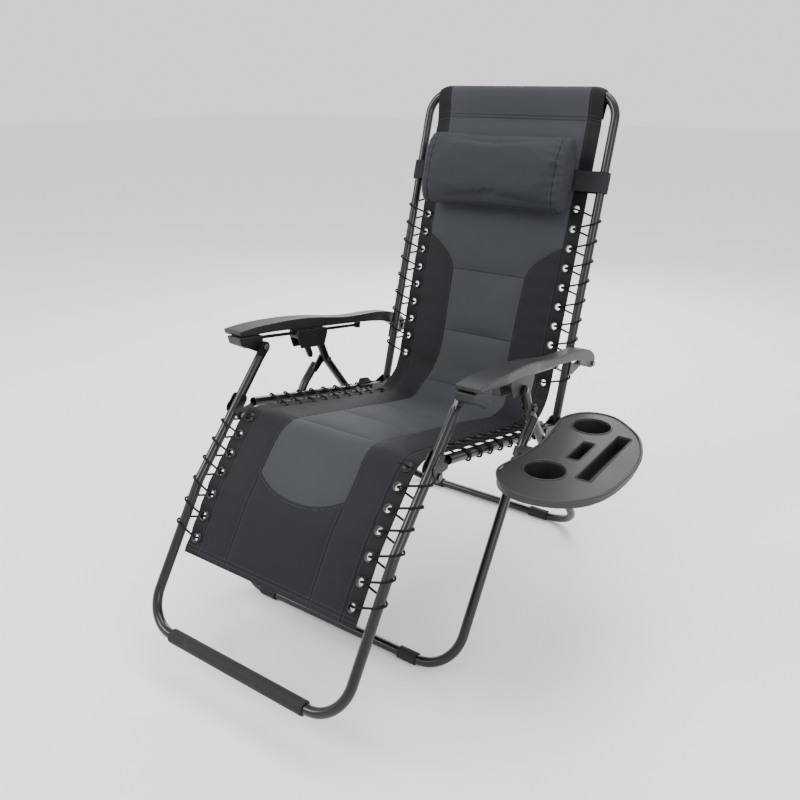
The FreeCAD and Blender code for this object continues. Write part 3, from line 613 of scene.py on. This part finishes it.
def sling_relief(sizes, places, x, s):
    """Filling in front of the middle line, and the signed distance inside the grey panels."""
    a = np.abs(x)
    stations, halves = zip(*places["widths"])
    width = np.interp(s, stations, halves)
    arc = places["oval"] + 0.036 * (a / 0.112) ** 2.4
    panel = np.minimum(width - a, (s - arc) * 0.9)
    seams = np.array(places["seams"] + places["full_seams"])
    gap = np.min(np.abs(s[..., None] - seams), axis=-1)
    full = np.min(np.abs(s[..., None] - np.array(places["full_seams"])), axis=-1)
    top = places["length"][-1]
    ends = np.where(s > top - 0.15, 0.0, np.maximum(0, s - HEM_SEAM))
    centre = sizes.centre_fill * rise(panel, 0.020) * rise(gap, 0.018)
    low = np.where(s < places["oval"] + 0.03, np.abs(a - 0.112), 9.0)
    inner = np.minimum(np.minimum(-panel, low), places["border"] - a)
    side = sizes.side_fill * rise(inner, 0.016) * rise(np.minimum(full, ends), 0.012)
    fill = np.where(panel > 0, centre * rise(ends, 0.02), side)
    drape = ripple(x, s, (9.0, 7.0), 3.7) * 0.0016 + ripple(x, s, (22.0, 16.0), 8.1) * 0.0008
    pull = np.sin(s * (2 * math.pi / 0.021) + 4 * ripple(x, s, (5.0, 5.0), 1.3))
    pucker = pull * np.exp(-np.abs(panel) / 0.010) * 0.00055
    eyes = np.array(places["eyelets"])
    near = np.min(np.abs(s[..., None] - eyes), axis=-1)
    tug = -np.cos(near / 0.0475 * 2 * math.pi) * np.exp(-np.maximum(0, 0.205 - a) / 0.030) * 0.0012
    flat = np.where(a > places["border"], 0.15, 1.0) * np.where(s > top - 0.16, 0.2, 1.0)
    return fill + (drape + pucker) * flat + tug * (s < top - 0.16), panel


def front_faces(places, s):
    """The way the cloth's front faces at each running length, as y and z."""
    line, length = places["line"], places["length"]
    reach = 0.004
    ahead_y = np.interp(s + reach, length, line[:, 0]) - np.interp(s - reach, length, line[:, 0])
    ahead_z = np.interp(s + reach, length, line[:, 1]) - np.interp(s - reach, length, line[:, 1])
    size = np.hypot(ahead_y, ahead_z)
    return -ahead_z / size, ahead_y / size


def open_holes(places, x, s):
    """Leaves out the cells inside each eyelet, and draws the rest of its rim onto a circle."""
    flat = np.stack([x.ravel(), s.ravel()], axis=1).reshape(*x.shape, 2)
    keep = np.ones((x.shape[0] - 1, x.shape[1] - 1), bool)
    middle = (flat[:-1, :-1] + flat[1:, 1:]) / 2
    eyes = [(side * EYELET_X, e) for e in places["eyelets"] for side in (-1, 1)]
    for ex, es in eyes:
        keep &= np.hypot(middle[..., 0] - ex, middle[..., 1] - es) > HOLE_R
    x, s = x.copy(), s.copy()
    for ex, es in eyes:
        gap = np.hypot(flat[..., 0] - ex, flat[..., 1] - es)
        for i, j in zip(*np.where(gap < HOLE_R + 0.004)):
            around = keep[max(0, i - 1):i + 1, max(0, j - 1):j + 1]
            if around.any() and not around.all() and gap[i, j] > 1e-6:
                pull = HOLE_R / gap[i, j]
                x[i, j] = ex + (flat[i, j, 0] - ex) * pull
                s[i, j] = es + (flat[i, j, 1] - es) * pull
    return keep, x, s


def closed_faces(keep):
    """Faces of the cloth's front and back, with a wall wherever a kept cell ends."""
    rows, columns = keep.shape
    count_x = columns + 1
    total = (rows + 1) * count_x
    faces = []
    for i, j in zip(*np.where(keep)):
        a, b = i * count_x + j, i * count_x + j + 1
        c, d = a + count_x, b + count_x
        faces.append((a, b, d, c))
        faces.append((c + total, d + total, b + total, a + total))
        if j == 0 or not keep[i, j - 1]:
            faces.append((a, c, c + total, a + total))
        if j == columns - 1 or not keep[i, j + 1]:
            faces.append((d, b, b + total, d + total))
        if i == 0 or not keep[i - 1, j]:
            faces.append((b, a, a + total, b + total))
        if i == rows - 1 or not keep[i + 1, j]:
            faces.append((c, d, d + total, c + total))
    return [tuple(int(corner) for corner in face) for face in faces]


def cloth_object(name, points, faces, panel, flat):
    """A mesh object that carries its flat pattern as UV and its distance inside the grey panels."""
    mesh = bpy.data.meshes.new(name)
    mesh.from_pydata(points.tolist(), [], faces)
    mesh.attributes.new("panel", "FLOAT", "POINT").data.foreach_set("value", panel.astype(np.float32))
    corner = np.zeros(len(mesh.loops), np.int32)
    mesh.loops.foreach_get("vertex_index", corner)
    mesh.uv_layers.new(name="UVMap").data.foreach_set("uv", flat[corner].astype(np.float32).ravel())
    made = bpy.data.objects.new(name, mesh)
    bpy.context.scene.collection.objects.link(made)
    alone(made)
    bpy.ops.object.mode_set(mode="EDIT")
    bpy.ops.mesh.select_all(action="SELECT")
    bpy.ops.mesh.delete_loose()
    bpy.ops.mesh.select_all(action="SELECT")
    bpy.ops.mesh.normals_make_consistent(inside=False)
    bpy.ops.object.mode_set(mode="OBJECT")
    bpy.ops.object.shade_smooth_by_angle(angle=math.radians(62))
    return made


def sling_piece(name, sizes, places, start, end):
    """One closed, padded length of the sling, with its eyelet holes."""
    line, length = places["line"], places["length"]
    x, s = np.meshgrid(*sling_grid(sizes, places, start, end))
    ny, nz = front_faces(places, s)
    front, panel = sling_relief(sizes, places, x, s)
    wrap = np.clip((s - (length[-1] - 0.20)) / 0.05, 0, 1)
    wrap = wrap * wrap * (3 - 2 * wrap)
    thick = np.where(np.abs(x) > places["border"], 0.0014, 0.0021)
    half = thick * (1 - wrap) + 0.0011 * wrap
    edge = np.clip((sizes.cloth_half - np.abs(x)) / 0.004, 0, 1)
    half = half * (0.55 + 0.45 * np.sqrt(edge))
    # the cloth's ends follow the top bar down into its bends
    over = np.clip(np.abs(x) - (FRAME_HALF - CORNER_R), 0, CORNER_R * 0.98)
    drop = (CORNER_R - np.sqrt(CORNER_R ** 2 - over ** 2)) * wrap
    sag = -0.0035 * (1 - (x / sizes.cloth_half) ** 2) * (1 - wrap)
    keep, x, s = open_holes(places, x, s)
    ys = np.interp(s, length, line[:, 0])
    zs = np.interp(s, length, line[:, 1])
    skins = []
    for lift in (half + front * (1 - 0.85 * wrap) + sag, -half + sag):
        skin = [x, ys + ny * lift - BACK_UP.y * drop, zs + nz * lift - BACK_UP.z * drop]
        skins.append(np.stack(skin, axis=-1).reshape(-1, 3))
    flat = np.vstack([np.stack([x.ravel(), s.ravel()], axis=1)] * 2)
    inside = np.concatenate([panel.ravel(), panel.ravel()])
    return cloth_object(name, np.vstack(skins), closed_faces(keep), inside, flat)


class RECLINER_OT_sling(bpy.types.Operator):
    """Makes the padded sling in four lengths that bend at the knee and the hip"""
    bl_idname = "recliner.sling"
    bl_label = "Padded sling"

    def execute(self, context):
        sizes = context.scene.recliner_sizes
        places = sling_places(sizes)
        knee, hip, middle = places["knee"], places["hip"], places["middle"]
        leg = sling_piece("sling_calf_part", sizes, places, 0.0, knee)
        fore = sling_piece("sling_seat_front", sizes, places, knee, middle)
        rear = sling_piece("sling_seat_rear", sizes, places, middle, hip)
        back = sling_piece("sling_back_part", sizes, places, hip, places["length"][-1])
        for piece in (leg, fore, rear, back):
            dress(piece, "sling")
        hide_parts("sling_leg")
        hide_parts("sling_seat")
        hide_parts("sling_seat")
        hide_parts("sling_back")
        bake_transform(leg)
        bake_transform(fore)
        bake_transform(rear)
        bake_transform(back)
        return {"FINISHED"}


class RECLINER_OT_pillow(bpy.types.Operator):
    """Makes the stuffed head pillow and its elastic strap"""
    bl_idname = "recliner.pillow"
    bl_label = "Head pillow and strap"

    def execute(self, context):
        sizes = context.scene.recliner_sizes
        low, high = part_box("head_pillow")
        middle = (low + high) / 2
        alone()
        bpy.ops.mesh.primitive_cylinder_add(vertices=48, radius=1.0, depth=0.392, location=middle,
                                            rotation=(0, math.radians(90), 0))
        pillow = bpy.context.object
        pillow.name = "head_pillow_stuffed"
        settle(pillow)
        for point in pillow.data.vertices:
            out = point.co - middle
            ring = math.atan2(out.z, out.y)
            up = math.copysign(abs(math.sin(ring)) ** 0.8, math.sin(ring)) * 0.089
            forward = math.copysign(abs(math.cos(ring)) ** 0.8, math.cos(ring)) * 0.036
            point.co = middle + Vector((out.x, 0, 0)) + BACK_UP * up + BACK_OUT * forward
        alone(pillow)
        bpy.ops.object.mode_set(mode="EDIT")
        bpy.ops.mesh.select_all(action="SELECT")
        bpy.ops.mesh.normals_make_consistent(inside=False)
        bpy.ops.object.mode_set(mode="OBJECT")
        bevel = pillow.modifiers.new("ends", "BEVEL")
        bevel.width = 0.014
        bevel.segments = 4
        bevel.limit_method = "ANGLE"
        bevel.angle_limit = math.radians(60)
        remesh = pillow.modifiers.new("remesh", "REMESH")
        remesh.mode = "VOXEL"
        remesh.voxel_size = sizes.pillow_voxel
        apply_all(pillow)
        self.inflate(context, pillow)
        rounding = pillow.modifiers.new("rounding", "SUBSURF")
        rounding.levels = 1
        rounding.render_levels = 1
        apply_all(pillow)
        self.sew(pillow, middle)
        dress(pillow, "pillow", "head_pillow", ["head_pillow"])
        self.strap(sizes)
        return {"FINISHED"}

    def inflate(self, context, pillow):
        """Blows the cover up as cloth, and holds each point's travel to 11 mm."""
        start = np.array([v.co for v in pillow.data.vertices])
        cloth = pillow.modifiers.new("cloth", "CLOTH")
        settings = cloth.settings
        settings.quality = 6
        settings.use_pressure = True
        settings.uniform_pressure_force = 4.5
        settings.effector_weights.gravity = 0.0
        settings.tension_stiffness = 20.0
        settings.compression_stiffness = 20.0
        settings.bending_stiffness = 0.6
        cloth.point_cache.frame_start = 1
        cloth.point_cache.frame_end = 20
        for step in range(1, 21):
            context.scene.frame_set(step)
        shaped = pillow.evaluated_get(context.evaluated_depsgraph_get()).to_mesh()
        end = np.array([v.co for v in shaped.vertices])
        if len(end) != len(start):
            raise RuntimeError("the pillow's cover changed its points while it was blown up")
        pillow.modifiers.remove(cloth)
        context.scene.frame_set(1)
        travel = end - start
        away = np.array([v.normal for v in pillow.data.vertices])
        inward = np.minimum(0.0, (travel * away).sum(axis=1))
        travel -= away * inward[:, None] * 0.85
        far = np.maximum(1e-9, np.linalg.norm(travel, axis=1))
        travel *= np.minimum(1.0, 0.011 / far)[:, None]
        pillow.data.vertices.foreach_set("co", (start + travel).ravel())
        pillow.data.update()

    def sew(self, pillow, middle):
        """Pulls the cover in along its end seams, flattens its back and gathers wrinkles at the seams."""
        for point in pillow.data.vertices:
            out = point.co - middle
            forward = out.dot(BACK_OUT)
            up = out.dot(BACK_UP)
            gap = abs(abs(point.co.x) - PILLOW_SEAM_X)
            ring = math.atan2(up, forward * 2)
            groove = math.exp(-(gap / 0.0035) ** 2) * 0.0032
            gather = math.exp(-gap / 0.016) * math.sin(ring * 23 + math.copysign(1.4, point.co.x)) * 0.0011
            crease = noise.noise(Vector((point.co.x * 16, up * 30, 2.0))) * 0.0018
            inward = point.normal * (crease + gather - groove)
            point.co += inward
            behind = (point.co - middle).dot(BACK_OUT)
            if behind < -0.034:
                point.co += BACK_OUT * ((-0.034 - behind) * 0.8)
        pillow.data.update()
        alone(pillow)
        bpy.ops.object.shade_smooth()

    def strap(self, sizes):
        """A ribbed loop round both back tubes, straight behind and drawn in over the cloth in front."""
        centre = HIP + BACK_UP * 0.580
        arm = 0.0152
        loop = []
        for k in range(25):
            angle = math.radians(75 - 165 * k / 24)
            loop.append((FRAME_HALF + arm * math.cos(angle), arm * math.sin(angle)))
        loop = [(EYELET_X - 0.012, 0.0096), (EYELET_X + 0.02, 0.0105)] + loop
        loop += [(-a, b) for a, b in reversed(loop)]
        outline = bmesh.new()
        layer = outline.loops.layers.uv.new("UVMap")
        cells = 12
        rings = []
        run = [0.0]
        count = len(loop)
        for k in range(count):
            a, b = loop[k], loop[(k + 1) % count]
            run.append(run[-1] + math.hypot(b[0] - a[0], b[1] - a[1]))
        for k in range(count):
            before, point, after = loop[k - 1], loop[k], loop[(k + 1) % count]
            along = Vector((after[0] - before[0], after[1] - before[1])).normalized()
            away = Vector((-along.y, along.x))
            ring = []
            for skin in (0.00075, -0.00075):
                for c in range(cells + 1):
                    share = c / cells - 0.5
                    if skin < 0:
                        share = -share
                    wave = 0.0006 * math.sin(k * 1.1 + c * 0.5)
                    x, out = point[0] + away.x * (skin + wave), point[1] + away.y * (skin + wave)
                    place = centre + BACK_UP * (share * sizes.strap_width) + BACK_OUT * out
                    ring.append(outline.verts.new((x, place.y, place.z)))
            rings.append(ring)
        size = len(rings[0])
        for k in range(count):
            first, second = rings[k], rings[(k + 1) % count]
            for c in range(size):
                d = (c + 1) % size
                face = outline.faces.new((first[c], first[d], second[d], second[c]))
                ends = [(run[k], c), (run[k], c + 1), (run[k + 1], c + 1), (run[k + 1], c)]
                for corner, (length, cell) in zip(face.loops, ends):
                    corner[layer].uv = (length, cell / cells * sizes.strap_width)
        bmesh.ops.recalc_face_normals(outline, faces=outline.faces)
        mesh = bpy.data.meshes.new("pillow_strap_elastic")
        outline.to_mesh(mesh)
        outline.free()
        strap = bpy.data.objects.new("pillow_strap_elastic", mesh)
        bpy.context.scene.collection.objects.link(strap)
        alone(strap)
        bpy.ops.object.shade_smooth_by_angle(angle=math.radians(50))
        dress(strap, "strap", "head_pillow", ["pillow_strap"])


def grommet(name):
    """One moulded eyelet at the origin: two flanges and the barrel between them."""
    alone()
    bpy.ops.mesh.primitive_cylinder_add(vertices=28, radius=0.0089, depth=0.0040, end_fill_type="NOTHING")
    ring = bpy.context.object
    ring.name = name
    bpy.ops.object.mode_set(mode="EDIT")
    for side in (1, -1):
        for width, stand in ((0.0095, 0.0025), (0.0106, 0.0027), (0.0117, 0.0014)):
            bpy.ops.object.mode_set(mode="OBJECT")
            far = max(v.co.length for v in ring.data.vertices if v.co.z * side > 0)
            for edge in ring.data.edges:
                ends = [ring.data.vertices[i].co for i in edge.vertices]
                edge.select = all(p.z * side > 0 and abs(p.length - far) < 1e-5 for p in ends)
            for point in ring.data.vertices:
                point.select = False
            for edge in ring.data.edges:
                if edge.select:
                    for i in edge.vertices:
                        ring.data.vertices[i].select = True
            reach = max(math.hypot(v.co.x, v.co.y) for v in ring.data.vertices if v.select)
            height = max(abs(v.co.z) for v in ring.data.vertices if v.select)
            bpy.ops.object.mode_set(mode="EDIT")
            bpy.ops.mesh.select_mode(type="EDGE")
            bpy.ops.mesh.extrude_region_move()
            bpy.ops.transform.resize(value=(width / reach, width / reach, stand / height))
    bpy.ops.object.mode_set(mode="OBJECT")
    wall = ring.modifiers.new("wall", "SOLIDIFY")
    wall.thickness = 0.0009
    wall.offset = 0.0
    apply_all(ring)
    bpy.ops.object.mode_set(mode="EDIT")
    bpy.ops.mesh.select_all(action="SELECT")
    bpy.ops.mesh.normals_make_consistent(inside=False)
    bpy.ops.object.mode_set(mode="OBJECT")
    bpy.ops.object.shade_smooth_by_angle(angle=math.radians(45))
    return ring


class RECLINER_OT_eyelets(bpy.types.Operator):
    """Sets a moulded eyelet in every hole of the sling"""
    bl_idname = "recliner.eyelets"
    bl_label = "Eyelets"

    def execute(self, context):
        model = grommet("eyelet_model")
        places = sling_places(context.scene.recliner_sizes)
        line, length = places["line"], places["length"]
        groups = (("eyelets_back", "back", BACK_EYELETS), ("eyelets_seat", "seat", SEAT_EYELETS),
                  ("eyelets_leg", "leg_rest", LEG_EYELETS))
        for node, body, points in groups:
            rings = []
            for point in points:
                s = find(line, length, point)
                before, after = [[np.interp(s + step, length, line[:, axis]) for axis in (0, 1)]
                                 for step in (-0.004, 0.004)]
                lean = math.atan2(after[1] - before[1], after[0] - before[0])
                for side in (-1, 1):
                    ring = model.copy()
                    ring.data = model.data.copy()
                    bpy.context.scene.collection.objects.link(ring)
                    ring.rotation_euler = (lean, 0, 0)
                    ring.location = (side * EYELET_X, np.interp(s, length, line[:, 0]),
                                     np.interp(s, length, line[:, 1]))
                    rings.append(settle(ring))
            dress(joined(rings, node + "_moulded"), "grommet", body, [node])
        bpy.data.objects.remove(model)
        return {"FINISHED"}


class RECLINER_OT_lacing(bpy.types.Operator):
    """Fills the elastic lacing out to its stretched cover's thickness"""
    bl_idname = "recliner.lacing"
    bl_label = "Elastic lacing"

    def execute(self, context):
        for node, body in (("lacing_back", "back"), ("lacing_seat", "seat"), ("lacing_leg", "leg_rest")):
            cord = copy_of(node, node + "_braided")
            bpy.ops.object.mode_set(mode="EDIT")
            bpy.ops.mesh.select_all(action="SELECT")
            bpy.ops.transform.shrink_fatten(value=0.0005)
            bpy.ops.object.mode_set(mode="OBJECT")
            bpy.ops.object.shade_smooth()
            dress(cord, "cord", body, [node])
        return {"FINISHED"}


class RECLINER_OT_armrests(bpy.types.Operator):
    """Rounds the moulded armrests and the parts of the recline lock"""
    bl_idname = "recliner.armrests"
    bl_label = "Armrests and lock"

    def execute(self, context):
        for side in ("left", "right"):
            arm = soften(copy_of("armrest_" + side, "armrest_moulded_" + side), 0.0021, 0.5, 5)
            dress(arm, "arm", "armrests", ["armrest_" + side])
        bracket = soften(copy_of("arm_front_brackets", "arm_brackets_moulded"), 0.0015, 0.5, 3)
        dress(bracket, "nylon", "armrests", ["arm_front_brackets"])
        slider = soften(copy_of("lock_sliders", "lock_sliders_moulded"), 0.0015, 0.5, 3)
        dress(slider, "nylon", "recline_lock", ["lock_sliders"])
        for side in ("left", "right"):
            lever = soften(copy_of("lock_lever_" + side, "lock_lever_moulded_" + side), 0.0008, 0.5, 4)
            dress(lever, "nylon", "lever_" + side, ["lock_lever_" + side])
        return {"FINISHED"}


class RECLINER_OT_tray(bpy.types.Operator):
    """Rounds the moulded side tray and adds its raised rims"""
    bl_idname = "recliner.tray"
    bl_label = "Side tray"

    def execute(self, context):
        tray = soften(copy_of("side_tray", "side_tray_moulded"), 0.0019, 0.5, 2)
        dress(tray, "tray", "side_tray", ["side_tray"])
        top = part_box("side_tray")[1].z
        front = 0.3075
        rims = []
        for x, y in ((0.103, 0.160), (0.100, 0.408)):
            rims.append(self.rim([(front + x + 0.0425 * math.cos(a), y + 0.0425 * math.sin(a))
                                  for a in [2 * math.pi * k / 16 for k in range(16)]], top, 0.0021))
        for x0, x1, y0, y1 in ((0.166, 0.194, 0.164, 0.392), (0.116, 0.140, 0.236, 0.326)):
            pad = 0.0022
            x0, x1, y0, y1 = front + x0 - pad, front + x1 + pad, y0 - pad, y1 + pad
            corner = 0.004
            rims.append(self.rim([(x0 + corner, y0), (x1 - corner, y0), (x1, y0 + corner), (x1, y1 - corner),
                                  (x1 - corner, y1), (x0 + corner, y1), (x0, y1 - corner), (x0, y0 + corner)],
                                 top, 0.0017, "POLY"))
        outline = ((32, 96), (37, 190), (45, 276), (37, 352), (33, 436), (92, 486), (172, 446), (230, 352),
                   (246, 225), (220, 104), (122, 44))
        rims.append(self.rim([(front + x * 0.001, y * 0.001) for x, y in outline], top, 0.0026, "BEZIER"))
        dress(joined(rims, "side_tray_rims"), "tray", "side_tray")
        return {"FINISHED"}

    def rim(self, points, top, radius, kind="BEZIER"):
        """A raised bead along a closed outline on the tray's top."""
        curve = bpy.data.curves.new("rim", "CURVE")
        curve.dimensions = "3D"
        curve.bevel_depth = radius
        curve.bevel_resolution = 3
        curve.resolution_u = 8
        spline = curve.splines.new(kind)
        if kind == "BEZIER":
            spline.bezier_points.add(len(points) - 1)
            for knot, (x, y) in zip(spline.bezier_points, points):
                knot.co = (x, y, top - 0.0002)
                knot.handle_left_type = knot.handle_right_type = "AUTO"
        else:
            spline.points.add(len(points) - 1)
            for knot, (x, y) in zip(spline.points, points):
                knot.co = (x, y, top - 0.0002, 1)
        spline.use_cyclic_u = True
        bead = bpy.data.objects.new("rim", curve)
        bpy.context.scene.collection.objects.link(bead)
        alone(bead)
        bpy.ops.object.convert(target="MESH")
        bpy.ops.object.shade_smooth()
        return bpy.context.object


class RECLINER_OT_frame(bpy.types.Operator):
    """Paints the tubes, plates, bolts, feet and cords of the frame"""
    bl_idname = "recliner.frame"
    bl_label = "Frame finishes"

    def execute(self, context):
        by_slot = {"frame_steel": "tube", "plate_steel": "plate", "bolt_steel": "bolt", "black_nylon": "nylon",
                   "arm_plastic": "arm", "foot_rubber": "rubber", "sling_cloth": "sling", "pillow_cloth": "pillow",
                   "elastic_strap": "strap", "elastic_cord": "cord", "tray_plastic": "tray"}
        for part in frame["record"]["subparts"]:
            node = frame["nodes"][part["node"]]
            finish = FINISHES[by_slot[part["material_slot"]]]
            if not node.material_slots:
                node.data.materials.append(finish)
            for holder in node.material_slots:
                holder.material = finish
        return {"FINISHED"}


class RECLINER_OT_stage(bpy.types.Operator):
    """Makes the pale floor, the soft lights and the camera"""
    bl_idname = "recliner.stage"
    bl_label = "Stage"

    def execute(self, context):
        finish = Finish("studio_floor", Roughness=0.9, Specular_IOR_Level=0.1)
        drift = finish.grain(finish.place(), 1.2, 2.0)
        finish.set("Base Color", finish.colour(drift, (0.93, 0.93, 0.93), (0.95, 0.95, 0.95)))
        alone()
        bpy.ops.mesh.primitive_plane_add(size=40)
        floor = bpy.context.object
        floor.name = "studio_floor"
        floor.data.materials.append(finish.material)
        world = context.scene.world or bpy.data.worlds.new("studio")
        context.scene.world = world
        world.use_nodes = True
        sky = world.node_tree.nodes["Background"]
        sky.inputs["Color"].default_value = (1, 1, 1, 1)
        sky.inputs["Strength"].default_value = 1.25
        lights = (("key", (-2.2, -2.4, 3.0), 1.6, 90), ("fill", (3.0, -1.2, 1.8), 1.6, 35),
                  ("top", (0.3, 0.8, 3.4), 2.0, 60), ("rim", (-1.2, 3.0, 2.0), 1.4, 55))
        for name, place, size, power in lights:
            bpy.ops.object.light_add(type="AREA", location=place)
            lamp = bpy.context.object
            lamp.name = name + "_light"
            lamp.data.size = size
            lamp.data.energy = power
            lamp.rotation_euler = (Vector((0, 0.3, 0.5)) - Vector(place)).to_track_quat("-Z", "Y").to_euler()
        bpy.ops.object.camera_add(location=(0.9537, -1.1239, 1.1593),
                                  rotation=(math.radians(67.7), 0, math.radians(34.6)))
        camera = bpy.context.object
        camera.data.lens = 35.37
        camera.data.sensor_width = 36
        context.scene.camera = camera
        return {"FINISHED"}


class RECLINER_PT_panel(bpy.types.Panel):
    """Sizes, colours and the steps that build the recliner"""
    bl_label = "Recliner"
    bl_idname = "RECLINER_PT_panel"
    bl_space_type = "VIEW_3D"
    bl_region_type = "UI"
    bl_category = "Recliner"

    def draw(self, context):
        for group in (context.scene.recliner_sizes, context.scene.recliner_colours):
            for label in group.__annotations__:
                self.layout.prop(group, label)
        for step in STEPS:
            self.layout.operator(step.bl_idname)


STEPS = (RECLINER_OT_stage, RECLINER_OT_frame, RECLINER_OT_sling, RECLINER_OT_pillow, RECLINER_OT_eyelets,
         RECLINER_OT_lacing, RECLINER_OT_armrests, RECLINER_OT_tray)
CLASSES = (ReclinerSizes, ReclinerColours, RECLINER_PT_panel) + STEPS


def register():
    for item in CLASSES:
        bpy.utils.register_class(item)
    bpy.types.Scene.recliner_sizes = bpy.props.PointerProperty(type=ReclinerSizes)
    bpy.types.Scene.recliner_colours = bpy.props.PointerProperty(type=ReclinerColours)


def unregister():
    del bpy.types.Scene.recliner_colours
    del bpy.types.Scene.recliner_sizes
    for item in reversed(CLASSES):
        bpy.utils.unregister_class(item)


def main():
    register()
    finish_all(bpy.context.scene)
    bpy.ops.recliner.stage()
    bpy.ops.recliner.frame()
    bpy.ops.recliner.sling()
    bpy.ops.recliner.pillow()
    bpy.ops.recliner.eyelets()
    bpy.ops.recliner.lacing()
    bpy.ops.recliner.armrests()
    bpy.ops.recliner.tray()


if __name__ == "__main__":
    main()
